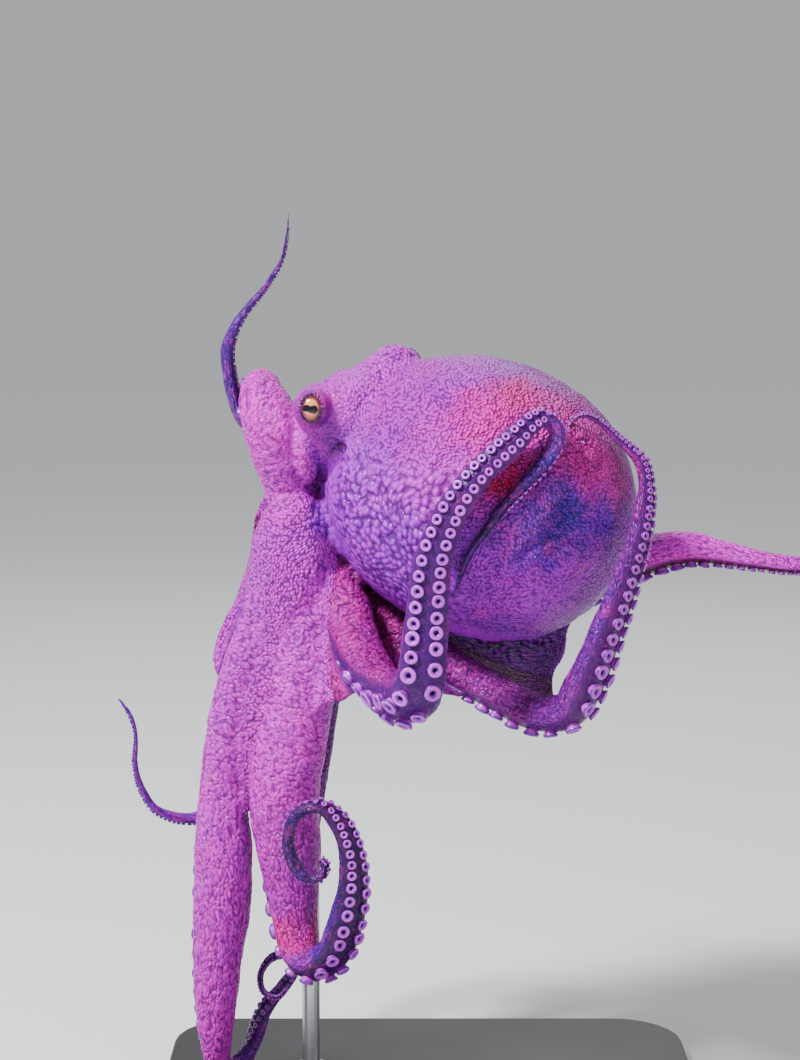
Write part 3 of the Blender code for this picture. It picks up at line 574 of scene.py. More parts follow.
class Survey:
    """Which part of the animal each point belongs to, and where on that part it lies."""

    def __init__(self, places):
        self.places = places
        count = len(places)
        self.gap = np.full((len(limbs), count), 1e6, dtype=np.float32)
        self.station = np.zeros((len(limbs), count), dtype=np.int32)
        for row, limb in enumerate(limbs.values()):
            picks = np.arange(0, len(limb.station), 2)
            centres = limb.place[picks].astype(np.float32)
            low, high = centres.min(axis=0) - 60, centres.max(axis=0) + 60
            near = np.nonzero(np.all((places > low) & (places < high), axis=1))[0]
            for start in range(0, len(near), 20000):
                block = near[start:start + 20000]
                away = (places[block] ** 2).sum(1)[:, None] + (centres ** 2).sum(1)
                away = away - 2 * places[block] @ centres.T
                away = np.sqrt(np.maximum(away, 0)) - limb.width[picks] * 0.5
                nearest = away.argmin(1)
                self.gap[row, block] = away[np.arange(len(block)), nearest]
                self.station[row, block] = picks[nearest]
        self.limb = self.gap.argmin(0)
        ranked = np.sort(self.gap, axis=0)
        self.arm_gap = ranked[0]
        self.rival_gap = ranked[1] - ranked[0]
        body = places - np.array(MANTLE_CENTRE)
        length = np.linalg.norm(body, axis=1)
        self.mantle_way = body / length[:, None]
        back = np.maximum(0, self.mantle_way @ np.array(MANTLE_BACK))
        body = body / (1 + MANTLE_BACK_RISE * back ** 3)[:, None]
        along = body @ np.array(MANTLE_AXIS)
        girth = np.linalg.norm(body - np.outer(along, MANTLE_AXIS), axis=1)
        along = along / MANTLE_HALF_LENGTH
        girth = girth / (MANTLE_RADIUS * (1 + MANTLE_TAPER * along))
        self.mantle_gap = ((girth ** MANTLE_ROUNDNESS + np.abs(along) ** MANTLE_ROUNDNESS)
                           ** (1 / MANTLE_ROUNDNESS) - 1) * MANTLE_RADIUS
        top = places - np.array(HEAD_CENTRE)
        length = np.linalg.norm(top, axis=1)
        way = top / length[:, None]
        radii = np.where(way[:, 2:] < 0, np.array([*HEAD_RADII[:2], HEAD_CHIN]), np.array(HEAD_RADII))
        skull = np.linalg.norm(way * radii, axis=1)
        for mound, height in MOUNDS:
            spread = np.arccos(np.clip(way @ np.array(mound.normalized()), -1, 1)) / EYE_MOUND_SPREAD
            skull = skull + height * np.exp(-spread * spread)
        self.head_gap = length - skull
        self.body_gap = np.minimum(self.mantle_gap, self.head_gap)
        self.along = np.zeros(count, dtype=np.float32)
        self.share = np.zeros(count, dtype=np.float32)
        self.across = np.zeros(count, dtype=np.float32)
        self.out = np.zeros(count, dtype=np.float32)
        self.width = np.ones(count, dtype=np.float32)
        for row, limb in enumerate(limbs.values()):
            mine = np.nonzero(self.limb == row)[0]
            i = self.station[row, mine]
            offset = places[mine] - limb.place[i]
            self.along[mine] = limb.station[i] + np.sum(offset * limb.forward[i], axis=1)
            self.share[mine] = self.along[mine] / limb.length
            self.across[mine] = np.sum(offset * limb.across[i], axis=1)
            self.out[mine] = np.sum(offset * limb.out[i], axis=1)
            self.width[mine] = limb.width[i]
        self.body = ease(-2.5, 2.5, self.arm_gap - self.body_gap)
        self.arm = (1 - self.body) * (1 - ease(0.8, 3.5, self.arm_gap)) * ease(0.5, 5, self.rival_gap)
        self.web = (1 - self.body) * ease(0.5, 4, self.arm_gap) * ease(-72, -50, places[:, 0])
        self.oral = (1 - self.body) * ease(4, 0.5, self.arm_gap) * ease(-0.02, 0.14, self.out / self.width)


# Sizes of the skin's cells in millimetres: on the body, and along and across the arms at shares.
BODY_CELL = 4.7
ARM_CELLS = ((0, 2.6, 3.6), (0.18, 2.3, 3.8), (0.32, 2.7, 3.0), (0.42, 3.4, 2.3), (0.6, 3.6, 2.1),
             (1, 2.6, 1.3))


def skin_grain(survey):
    """Places in units of skin cells: on the body, and on the straightened arms."""
    swirl = np.column_stack([waves(survey.places, 34, seed) for seed in (1, 2, 3)])
    body = (survey.places + swirl * 2.2) / BODY_CELL
    stations = np.linspace(0, 1, 200)
    cells = np.array(ARM_CELLS)
    long_cell = np.interp(stations, cells[:, 0], cells[:, 1])
    arms = np.zeros_like(body)
    for row, limb in enumerate(limbs.values()):
        mine = survey.limb == row
        run = np.concatenate([[0], np.cumsum(limb.length / 199 / ((long_cell[1:] + long_cell[:-1]) / 2))])
        wide = np.interp(survey.share[mine], cells[:, 0], cells[:, 2])
        wander = waves(survey.places[mine], 16, 40 + row)
        arms[mine, 0] = np.interp(survey.share[mine], stations, run) + wander * 0.55 + row * 37
        arms[mine, 1] = survey.across[mine] / wide + wander * 0.2
        arms[mine, 2] = survey.out[mine] / wide
    return body, arms


def mantle_marks(places):
    """Depth of the folds pressed into the mantle: creases, a hollow and the pucker at its end."""
    depth = np.zeros(len(places))
    for start, end, reach, deep in CREASES:
        start, end = np.array(start), np.array(end)
        run = end - start
        share = np.clip((places - start) @ run / (run @ run), 0, 1)
        bow = np.sin(math.pi * share)[:, None] * np.cross(run, (0, 1, 0)) * 0.12
        away = np.linalg.norm(places - start - bow - share[:, None] * run, axis=1)
        depth += deep * np.exp(-(away / reach) ** 2)
    spot = places - np.array(PUCKER)
    away = np.linalg.norm(spot, axis=1)
    turn = np.arctan2(spot[:, 2], spot[:, 0])
    rays = np.cos(11 * turn + 1.5 * np.sin(3 * turn)) * 0.5 + 0.5
    depth += 2.6 * np.exp(-(away / 5) ** 2) + 1.3 * rays * np.exp(-((away - 9) / 8) ** 2)
    return depth


CREASES = (((52, -103, 383), (72, -99, 398), 2.6, 2.6), ((62, -101, 376), (84, -92, 393), 2.2, 1.8),
           ((80, -97, 405), (76, -98, 400), 13, 3.0), ((40, -104, 437), (46, -102, 424), 7, 2.2),
           ((90, -80, 372), (100, -73, 352), 3, 1.0), ((75, -85, 352), (95, -70, 344), 3, 1.0),
           ((96, -82, 424), (104, -72, 440), 2.5, 1.3), ((88, -86, 430), (97, -74, 452), 2.2, 1.2))
PUCKER = (104, -76, 400)
FAR_MOUND = HEAD_CENTRE + MOUNDS[1][0].normalized() * 58


def seam_of(survey):
    """How deep in the furrow between the mantle and the head or arms each point lies."""
    beside = np.minimum(survey.arm_gap, survey.head_gap + 30 * ease(446, 460, survey.places[:, 2]))
    seam = np.exp(-((survey.mantle_gap - 1.5) / 3) ** 2) * ease(-1, 2, survey.mantle_gap - beside + 2)
    return seam * ease(8, 3, np.abs(beside))


def skin_relief(survey):
    """Large folds in millimetres along the normals, before the small cells of the skin."""
    places = survey.places
    height = -mantle_marks(places) * survey.body
    height += 0.5 * waves(places, 26, 11) * (1 - survey.oral)
    height -= 2.2 * seam_of(survey)
    column = (1 - survey.body) * (1 - survey.oral) * (survey.width > 18) * ease(0.75, 0.6, survey.share)
    ripple = np.sin(survey.along / 1.25 + 3.0 * waves(places, 20, 12)) * ease(0.36, 0.24, survey.share)
    height += column * 0.34 * ripple * (0.6 + 0.5 * waves(places, 30, 13))
    far = np.linalg.norm(places - np.array(FAR_MOUND), axis=1)
    height += 0.28 * np.sin(far / 0.55) * np.exp(-(far / 24) ** 2) * survey.body
    return height


def eye_fit(places, centre, gaze):
    """Angle from the gaze beyond the lids' opening, and distance from the eye's centre."""
    offset = places - np.array(centre)
    length = np.linalg.norm(offset, axis=1)
    turn = np.array(gaze.to_track_quat("Z", "Y").to_matrix())
    local = offset @ turn
    angle = np.arccos(np.clip(local[:, 2] / length, -1, 1))
    around = np.arctan2(local[:, 1], local[:, 0])
    return angle - opening_angle(around), length, offset


EYE_RADIUS = 11.5
LID_HALF_WIDTH = 6.0
LID_HALF_HEIGHT = 8.3
EYES = {"left": (Vector((-74.5, -30, 471)), Vector((-0.12, -0.99, 0.06)).normalized()),
        "right": (Vector((-18, 31, 495)), Vector((0.50, 0.78, 0.32)).normalized())}


def opening_angle(around):
    """Half angle of the lids' opening at a turn round the gaze."""
    reach = 1 / np.sqrt((np.cos(around) / LID_HALF_WIDTH) ** 2 + (np.sin(around) / LID_HALF_HEIGHT) ** 2)
    return np.arcsin(reach / EYE_RADIUS)


def seat_skin_at_eyes(places):
    """Tucks the skin behind each eyeball within its lids, and under the lids round them."""
    for centre, gaze in EYES.values():
        beyond, length, offset = eye_fit(places, centre, gaze)
        inside = np.minimum(length, EYE_RADIUS - 1.6)
        under = np.clip(length, EYE_RADIUS + 0.2, EYE_RADIUS + 1.0)
        target = inside + (under - inside) * ease(math.radians(9), math.radians(16), beyond)
        hold = 1 - ease(math.radians(42), math.radians(78), beyond)
        hold = hold * ease(EYE_RADIUS + 16, EYE_RADIUS + 9, length)
        places = places + offset / length[:, None] * ((target - length) * hold)[:, None]
    return places


def set_points(mesh, places):
    mesh.vertices.foreach_set("co", (places * MM).astype(np.float32).ravel())
    mesh.update()


def add_values(mesh, name, kind, values):
    """Stores one value or vector per vertex."""
    layer = mesh.attributes.new(name, kind, "POINT")
    field = {"FLOAT": "value", "FLOAT_VECTOR": "vector", "FLOAT_COLOR": "color"}[kind]
    layer.data.foreach_set(field, np.asarray(values, dtype=np.float32).ravel())


def value_of(tree, name, output="Fac"):
    return add_node(tree, "ShaderNodeAttribute", attribute_name=name).outputs[output]


def reckon(tree, operation, first, second=0.0, clamp=False):
    """A sum, product or other working on two numbers."""
    node = add_node(tree, "ShaderNodeMath", {0: first, 1: second}, operation=operation, use_clamp=clamp)
    return node.outputs[0]


def stretch(tree, value, low, high, to_low=0.0, to_high=1.0):
    """A smooth step of a value."""
    inputs = {"Value": value, "From Min": low, "From Max": high, "To Min": to_low, "To Max": to_high}
    return add_node(tree, "ShaderNodeMapRange", inputs, interpolation_type="SMOOTHSTEP").outputs["Result"]


def tinted(tree, share, low, high, mode="MIX"):
    """Mixes two colours."""
    inputs = {"Factor": share, 6: low, 7: high}
    return add_node(tree, "ShaderNodeMix", inputs, data_type="RGBA", blend_type=mode).outputs[2]


def blend(tree, share, low, high):
    """Mixes two numbers."""
    return add_node(tree, "ShaderNodeMix", {"Factor": share, 2: low, 3: high}, data_type="FLOAT").outputs[0]


# A dome falls from its top at the first of these distances from a cell's middle to its groove at the
# second.  Fine cells are smaller by their scale, and wrinkles show on the arms by their share.
DOME_REACH = (0.12, 0.80)
DOME_STEEPNESS = 1.4
FINE_CELL_SCALE = 2.1
CELL_DISORDER = 0.8
WRINKLE_SHARE = 0.28
WRINKLE_WIDTH = 0.09


def skin_cells(tree, body, arms, arm, fine):
    """Heights of the skin's cells, 0 in the grooves and 1 on top, with wrinkles; and their places."""
    on_arm = reckon(tree, "GREATER_THAN", arm, 0.5)
    mixed = add_node(tree, "ShaderNodeMix", {"Factor": on_arm, 4: body, 5: arms}, data_type="VECTOR")
    place = mixed.outputs[1]
    domes = []
    for size in (1.0, FINE_CELL_SCALE):
        scaled = add_node(tree, "ShaderNodeVectorMath", {0: place, 1: (size,) * 3}, operation="MULTIPLY")
        cell = add_node(tree, "ShaderNodeTexVoronoi", {"Vector": scaled.outputs[0], "Scale": 1.0,
                                                       "Randomness": CELL_DISORDER}, feature="F1")
        fall = add_node(tree, "ShaderNodeMapRange", {"Value": cell.outputs["Distance"],
                                                     "From Min": DOME_REACH[0], "From Max": DOME_REACH[1]})
        domes.append(reckon(tree, "SUBTRACT", 1.0,
                            reckon(tree, "POWER", fall.outputs["Result"], DOME_STEEPNESS)))
    wander = add_node(tree, "ShaderNodeTexNoise", {"Vector": place, "Scale": 0.7, "Detail": 2.0,
                                                   "Roughness": 0.55, "Distortion": 0.2})
    near = reckon(tree, "ABSOLUTE", reckon(tree, "SUBTRACT", wander.outputs["Fac"], 0.5))
    folds = stretch(tree, near, 0.0, WRINKLE_WIDTH)
    share = reckon(tree, "MULTIPLY", arm, WRINKLE_SHARE)
    return blend(tree, share, blend(tree, fine, domes[0], domes[1]), folds), place


def cell_relief(name):
    """A node group that raises the skin's cells along the normals by the attribute relief."""
    group = bpy.data.node_groups.new(name, "GeometryNodeTree")
    group.interface.new_socket("Geometry", in_out="INPUT", socket_type="NodeSocketGeometry")
    group.interface.new_socket("Geometry", in_out="OUTPUT", socket_type="NodeSocketGeometry")
    entry = add_node(group, "NodeGroupInput")
    read = {}
    for attribute, kind in (("body_grain", "FLOAT_VECTOR"), ("arm_grain", "FLOAT_VECTOR"), ("arm", "FLOAT"),
                            ("fine", "FLOAT"), ("relief", "FLOAT")):
        read[attribute] = add_node(group, "GeometryNodeInputNamedAttribute", {"Name": attribute},
                                   data_type=kind).outputs["Attribute"]
    cells, _ = skin_cells(group, read["body_grain"], read["arm_grain"], read["arm"], read["fine"])
    raised = reckon(group, "MULTIPLY", reckon(group, "SUBTRACT", cells, 0.6), read["relief"])
    raised = reckon(group, "MULTIPLY", raised, reckon(group, "SUBTRACT", 1.0, read["fine"]))
    offset = add_node(group, "ShaderNodeVectorMath",
                      {0: add_node(group, "GeometryNodeInputNormal").outputs[0],
                       "Scale": reckon(group, "MULTIPLY", raised, MM)}, operation="SCALE")
    moved = add_node(group, "GeometryNodeSetPosition",
                     {"Geometry": entry.outputs[0], "Offset": offset.outputs[0]})
    add_node(group, "NodeGroupOutput", {"Geometry": moved.outputs[0]})
    return group


# Ways from the middle of the mantle: up its ridge, to the belly beside the arms, and nearly straight
# down; and how far the calmer skin reaches round the left eye, in millimetres.
RIDGE_WAY = (-0.1, -0.25, 1.0)
BELLY_WAY = (-0.66, 0, -0.75)
UNDER_WAY = (-0.1, -0.1, -1.0)
EYE_CALM_REACH = 26


def towards(ways, way):
    """How far each way points along another, from -1 to 1."""
    return ways @ unit(np.array([way], dtype=float))[0]


def grain_attributes(mesh, survey):
    """Stores the places and heights of the skin's cells; gives the belly and the skin near the eye."""
    body, arms = skin_grain(survey)
    way = survey.mantle_way
    back = ease(0.35, 0.75, towards(way, RIDGE_WAY))
    end = ease(0.25, 0.65, way @ np.array(MANTLE_AXIS))
    belly = ease(-0.36, -0.20, way[:, 1]) * ease(0.25, 0.5, towards(way, BELLY_WAY))
    belly = np.maximum(belly, ease(0.80, 0.95, towards(way, UNDER_WAY)))
    belly = belly * survey.body * ease(6, 0, survey.mantle_gap)
    head = survey.body * ease(2, -2, survey.head_gap - survey.mantle_gap)
    fine = np.maximum(survey.body * np.maximum(back, end * 0.8), head)
    fine = np.maximum(fine, (1 - survey.body) * ease(0.9, 0.4, survey.arm))
    relief = survey.body * 0.85 + (1 - survey.body) * (0.60 - 0.45 * survey.oral - 0.47 * survey.web)
    from_eye = np.linalg.norm(survey.places - np.array(EYES["left"][0]), axis=1)
    near_eye = np.exp(-(from_eye / EYE_CALM_REACH) ** 2)
    relief = relief * (1 - 0.6 * belly) * (1 - 0.45 * head) * (1 - 0.6 * near_eye)
    relief = np.where(survey.arm_gap < survey.body_gap, relief * ease(3, 18, survey.width), relief)
    add_values(mesh, "body_grain", "FLOAT_VECTOR", body)
    add_values(mesh, "arm_grain", "FLOAT_VECTOR", arms)
    add_values(mesh, "arm", "FLOAT", survey.arm)
    add_values(mesh, "fine", "FLOAT", fine)
    add_values(mesh, "relief", "FLOAT", relief)
    return belly, near_eye


places, normals = points_of(skin.data)
softness = np.zeros(len(places))
for centre, radius in SOFT_PLACES:
    away = np.linalg.norm(places - np.array(centre), axis=1)
    softness = np.maximum(softness, np.clip(2 - 2 * away / radius, 0, 1))
soft = skin.vertex_groups.new(name="soft")
levels = np.round(softness * 10).astype(int)
for level in range(1, 11):
    soft.add(np.nonzero(levels == level)[0].tolist(), level / 10, "REPLACE")
for name, group, passes in (("settle", "", SMOOTH_PASSES), ("melt", "soft", MELT_PASSES)):
    smooth = skin.modifiers.new(name, "SMOOTH")
    smooth.factor = 0.5
    smooth.iterations = passes
    smooth.vertex_group = group
applied(skin)
places, normals = points_of(skin.data)
survey = Survey(places)
set_points(skin.data, places + normals * skin_relief(survey)[:, None])
grain_attributes(skin.data, survey)
skin.modifiers.new("cells", "NODES").node_group = cell_relief("skin cells")
applied(skin)
for name in ("body_grain", "arm_grain", "arm", "fine", "relief"):
    skin.data.attributes.remove(skin.data.attributes[name])
places, normals = points_of(skin.data)
set_points(skin.data, seat_skin_at_eyes(places))
thin = skin.modifiers.new("thin", "DECIMATE")
thin.ratio = SKIN_TRIANGLES / (2 * len(skin.data.polygons))
applied(skin)

# The lids: a soft lip round each eyeball, as rings at angles beyond the opening.
LID_RINGS = ((-2, -0.7), (-1, 0.0), (0.5, 0.45), (4, 0.95), (8, 1.35), (13, 1.6), (18, 1.55), (23, 1.2),
             (27, 1.0), (32, 1.1), (37, 1.0), (43, 0.5), (50, -0.8), (58, -3.0))
LID_STEPS = 96
whole = bmesh.new()
whole.from_mesh(skin.data)
for centre, gaze in EYES.values():
    turn = gaze.to_track_quat("Z", "Y")
    lid = bmesh.new()
    bmesh.ops.create_grid(lid, x_segments=LID_STEPS, y_segments=len(LID_RINGS) - 1, size=0.5)
    for vert in lid.verts:
        around = (vert.co.x + 0.5) * 2 * math.pi
        beyond, rise = LID_RINGS[round((vert.co.y + 0.5) * (len(LID_RINGS) - 1))]
        angle = float(opening_angle(around)) + math.radians(beyond)
        rise += 0.12 * math.sin(5 * around + beyond * 0.2) * min(1, beyond / 8) if beyond > 0 else 0
        way = Vector((math.sin(angle) * math.cos(around), math.sin(angle) * math.sin(around),
                      math.cos(angle)))
        vert.co = (centre + turn @ way * (EYE_RADIUS + rise)) * MM
    bmesh.ops.remove_doubles(lid, verts=lid.verts, dist=0.01 * MM)
    lid.normal_update()
    middle = centre * MM
    if sum(face.normal.dot(face.calc_center_median() - middle) for face in lid.faces) < 0:
        bmesh.ops.reverse_faces(lid, faces=lid.faces)
    gather(whole, lid)
whole.to_mesh(skin.data)
whole.free()
skin.data.shade_smooth()

# Colours of the skin in the pose, some of them painted shade: where, how far it reaches in millimetres,
# colour, and strength.
BODY_TONES_AND_SHADE = (
    ((-75, -36, 470), 26, (0.80, 0.38, 0.80), 0.9), ((-30, -20, 480), 34, (0.90, 0.34, 0.92), 0.9),
    ((-20, 20, 505), 26, (0.87, 0.34, 0.88), 0.9), ((11, -38, 494), 26, (0.86, 0.32, 0.90), 0.8),
    ((0, -85, 440), 34, (0.92, 0.40, 0.92), 0.8), ((32, -79, 467), 24, (0.98, 0.46, 0.84), 0.8),
    ((54, -68, 479), 18, (0.94, 0.42, 0.72), 0.7), ((-39, -62, 425), 34, (0.78, 0.28, 0.90), 0.8),
    # The second patch on the next line is the skin's own red darkened with painted shadow, between the two
    # turns of the centre arm that lies on the mantle.
    ((-10, -82, 385), 38, (0.76, 0.26, 0.90), 0.8), ((40, -100, 434), 16, (0.80, 0.18, 0.44), 0.95),
    ((52, -104, 406), 18, (0.60, 0.12, 0.76), 0.8), ((80, -97, 405), 17, (0.24, 0.05, 0.64), 1.0),
    ((66, -100, 384), 13, (0.48, 0.12, 0.76), 0.8), ((97, -70, 454), 24, (0.88, 0.36, 0.74), 0.9),
    ((78, -73, 467), 18, (0.90, 0.38, 0.76), 0.8), ((109, -68, 436), 18, (0.92, 0.42, 0.80), 0.8),
    ((102, -80, 404), 13, (0.62, 0.34, 0.84), 0.8), ((53, -89, 356), 30, (0.82, 0.32, 0.90), 0.8),
    ((90, -78, 366), 24, (0.80, 0.28, 0.88), 0.8), ((42, -72, 336), 16, (0.52, 0.20, 0.68), 0.7),
    # Both patches on the next line are painted shade right of and below the left eye, where its mound meets
    # the mantle.
    ((-64, -34, 455), 12, (0.42, 0.12, 0.58), 0.95), ((-62, -36, 468), 8, (0.52, 0.16, 0.62), 0.8),
    ((112, -40, 470), 40, (0.74, 0.30, 0.72), 0.6), ((60, 60, 440), 60, (0.72, 0.28, 0.70), 0.6))
BODY_BASE = (0.70, 0.28, 0.80)
BELLY_COLOUR = (0.78, 0.50, 0.88)
WEB_COLOUR = (0.78, 0.14, 0.72)
# Painted shade: the webs of the arms named next grow darker where they pass under the mantle.
SHADED_WEB_COLOUR = (0.50, 0.07, 0.42)
SHADED_WEBS = ("arm_centre", "arm_right", "arm_rear_right", "arm_rear")
# Down each arm, as shares of its length: colours of its back, and of its sucker side.
ARM_BACKS = {
    "arm_up": ((0, (0.88, 0.42, 0.88)), (0.34, (0.92, 0.42, 0.88)), (0.42, (0.62, 0.20, 0.66)),
               (0.6, (0.42, 0.08, 0.60)), (1, (0.34, 0.06, 0.52))),
    "arm_left": ((0, (0.86, 0.44, 0.88)), (0.35, (0.90, 0.46, 0.90)), (0.65, (0.88, 0.42, 0.86)),
                 (0.75, (0.50, 0.18, 0.66)), (1, (0.40, 0.10, 0.56))),
    "arm_front": ((0, (0.88, 0.44, 0.90)), (0.32, (0.92, 0.48, 0.90)), (0.46, (0.80, 0.42, 0.80)),
                  (0.52, (0.88, 0.38, 0.72)), (0.56, (0.66, 0.30, 0.72)), (0.6, (0.44, 0.16, 0.68)),
                  (0.7, (0.30, 0.08, 0.50)), (1, (0.26, 0.05, 0.40))),
    "arm_centre": ((0, (0.82, 0.26, 0.74)), (0.2, (0.72, 0.16, 0.66)), (0.45, (0.54, 0.10, 0.64)),
                   (0.62, (0.54, 0.12, 0.66)), (0.72, (0.60, 0.14, 0.70)), (0.8, (0.40, 0.08, 0.62)),
                   (1, (0.32, 0.08, 0.52))),
    "arm_right": ((0, (0.70, 0.14, 0.54)), (0.3, (0.60, 0.08, 0.60)), (0.6, (0.52, 0.06, 0.66)),
                  (0.8, (0.60, 0.14, 0.60)), (1, (0.60, 0.14, 0.56))),
    "arm_rear_right": ((0, (0.66, 0.22, 0.64)), (0.35, (0.94, 0.48, 0.90)), (0.6, (1.0, 0.58, 0.98)),
                       (0.8, (0.78, 0.34, 0.78)), (1, (0.30, 0.06, 0.30))),
    "arm_rear_left": ((0, (0.66, 0.20, 0.60)), (0.16, (0.84, 0.42, 0.84)), (0.4, (0.70, 0.26, 0.74)),
                      (0.75, (0.56, 0.16, 0.70)),
                      (1, (0.52, 0.16, 0.66))),
    "arm_rear": ((0, (0.56, 0.20, 0.60)), (0.5, (0.56, 0.20, 0.62)), (1, (0.42, 0.12, 0.54))),
}
ORAL_COLOURS = {"arm_centre": (0.48, 0.06, 0.60), "arm_right": (0.50, 0.04, 0.58),
                "arm_front": (0.35, 0.03, 0.46),
                "arm_left": (0.32, 0.10, 0.50), "arm_rear_right": (0.36, 0.07, 0.32)}
ORAL_COLOUR = (0.42, 0.18, 0.58)
PIGMENT = 2.0
CONTRAST = 1.45
DEPTH = 0.48


def linear(colour):
    """A display colour as linear light, deepened for pigment under a glossy skin."""
    light = (((np.array(colour) + 0.055) / 1.055) ** 2.4) ** CONTRAST
    grey = light @ np.array((0.25, 0.6, 0.15))
    return np.maximum(grey + (light - grey) * PIGMENT, 0.003) * DEPTH * np.array((1.24, 0.6, 1.24))


def skin_colour(survey, belly):
    """The colour of each point of the skin in linear light, with painted shade in its furrows and on the webs
    under the mantle.
    """
    places = survey.places
    wander = np.column_stack([waves(places, 20, seed) for seed in (21, 22, 23)]) * 5
    colour = np.tile(linear(BODY_BASE), (len(places), 1))
    total = np.full(len(places), 0.25)
    mixed = colour * total[:, None]
    for centre, reach, tone, strength in BODY_TONES_AND_SHADE:
        away = np.linalg.norm(places + wander - np.array(centre), axis=1) / reach
        hold = strength * np.exp(-away ** 2 * 1.6) * 4
        mixed += linear(tone) * hold[:, None]
        total += hold
    colour = mixed / total[:, None]
    colour += (linear(BELLY_COLOUR) - colour) * belly[:, None] * 0.85
    arms = np.zeros_like(colour)
    for row, name in enumerate(limbs):
        mine = survey.limb == row
        tones = np.array([linear(tone) for _, tone in ARM_BACKS[name]])
        shares = [share for share, _ in ARM_BACKS[name]]
        here = survey.share[mine] + waves(places[mine], 24, 30) * 0.02
        back = np.column_stack([np.interp(here, shares, tones[:, k]) for k in range(3)])
        under = linear(ORAL_COLOURS.get(name, ORAL_COLOUR)) * 0.6
        arms[mine] = back + (under - back) * survey.oral[mine][:, None]
    # Painted shade of the mantle on the webs under it.
    dark = np.isin(survey.limb, [list(limbs).index(name) for name in SHADED_WEBS])
    dark = dark * ease(-75, -35, places[:, 0])
    web = linear(WEB_COLOUR) + (linear(SHADED_WEB_COLOUR) - linear(WEB_COLOUR)) * dark[:, None]
    arms += (web - arms) * (survey.web * 0.8)[:, None]
    # Darker in the furrows between neighbouring arms: painted shade.
    furrow = ease(3.5, 0.5, survey.rival_gap) * ease(0.12, 0.3, survey.share) * (1 - survey.web)
    arms *= (1 - 0.55 * furrow)[:, None]
    colour = colour * survey.body[:, None] + arms * (1 - survey.body)[:, None]
    # Darker in the furrow where the mantle meets the head and arms: painted shade.
    return colour * (1 - 0.75 * seam_of(survey))[:, None]


places, normals = points_of(skin.data)
survey = Survey(places)
belly, near_eye = grain_attributes(skin.data, survey)
tint = skin_colour(survey, belly)
orbit = np.full(len(places), 9.0)
for centre, gaze in EYES.values():
    beyond, length, offset = eye_fit(places, centre, gaze)
    orbit = np.minimum(orbit, np.where(length < EYE_RADIUS + 14, beyond, 9))
add_values(skin.data, "orbit", "FLOAT", orbit)
# Darker in a ring round each eye, partly the skin's own colour and partly painted shade of the lids, and
# darkest at the lids' edge: painted shade where they fold in to the eyeball.
tint = tint * (1 - 0.45 * ease(0.75, 0.35, orbit) - 0.5 * ease(0.16, 0.02, orbit))[:, None]
add_values(skin.data, "tint", "FLOAT_COLOR", np.column_stack([tint, np.ones(len(tint))]))
add_values(skin.data, "smoothness", "FLOAT", np.maximum(np.maximum(belly * 0.4, near_eye * 0.6), survey.oral))


# Pigments of the skin in linear light, with the grooves' colour partly the skin's dark net and partly painted
# shade, and a painted highlight for the cells' crests; and heights of its smallest forms in millimetres.
WARM_CLOUD, COOL_CLOUD = (0.80, 0.02, 0.28, 1), (0.16, 0.012, 0.50, 1)
DARK_CELL, BRIGHT_CELL = (0.16, 0.008, 0.36, 1), (0.85, 0.03, 0.68, 1)
GROOVE_NET_AND_SHADE, CREST_HIGHLIGHT = (0.32, 0.12, 0.38, 1), (0.85, 0.03, 0.85, 1)
RED_FLECK, DARK_FLECK = (0.95, 0.06, 0.62, 1), (0.08, 0.003, 0.20, 1)
CELL_HEIGHT, LID_LINE_HEIGHT, FLECK_HEIGHT, PORE_HEIGHT = 2.5, 0.12, 0.45, 0.12

skin_finish, tree, shader = new_material("skin", (0.55, 0.16, 0.42), 0.4)
arm_value, fine_value, smooth_value = (value_of(tree, name) for name in ("arm", "fine", "smoothness"))
cells, cell_place = skin_cells(tree, value_of(tree, "body_grain", "Vector"),
                               value_of(tree, "arm_grain", "Vector"), arm_value, fine_value)
each = add_node(tree, "ShaderNodeTexVoronoi",
                {"Vector": cell_place, "Scale": 1.0, "Randomness": CELL_DISORDER})
each_tone = add_node(tree, "ShaderNodeSeparateColor", {0: each.outputs["Color"]}).outputs[0]
place = add_node(tree, "ShaderNodeTexCoord").outputs["Object"]
clouds, flecks = (add_node(tree, "ShaderNodeTexNoise", {"Vector": place, "Scale": scale, "Detail": 3.0,
                                                        "Roughness": roughness}).outputs["Fac"]
                  for scale, roughness in ((55.0, 0.6), (420.0, 0.65)))
pores = add_node(tree, "ShaderNodeTexVoronoi", {"Vector": place, "Scale": 1150.0}).outputs["Distance"]
tint = value_of(tree, "tint", "Color")
colour = tint
for source, low, high, most, pigment in ((clouds, 0.52, 0.72, 0.25, WARM_CLOUD),
                                         (clouds, 0.48, 0.30, 0.22, COOL_CLOUD),
                                         (each_tone, 0.45, 0.0, 0.20, DARK_CELL),
                                         (each_tone, 0.6, 1.0, 0.18, BRIGHT_CELL)):
    colour = tinted(tree, stretch(tree, source, low, high, 0.0, most), colour, pigment)
calm = reckon(tree, "MULTIPLY", smooth_value, 0.75)
colour = tinted(tree, calm, colour, tint)
# The grooves between the cells darken: partly the skin's own dark net, partly painted shade.
groove = tinted(tree, 1.0, colour, GROOVE_NET_AND_SHADE, "MULTIPLY")
crest = tinted(tree, 0.24, colour, CREST_HIGHLIGHT)
small = reckon(tree, "MULTIPLY", reckon(tree, "MAXIMUM", fine_value, arm_value), 0.12)
depth = reckon(tree, "ADD", cells, reckon(tree, "ADD", calm, small), clamp=True)
colour = tinted(tree, stretch(tree, depth, 0.15, 0.85), groove, colour)
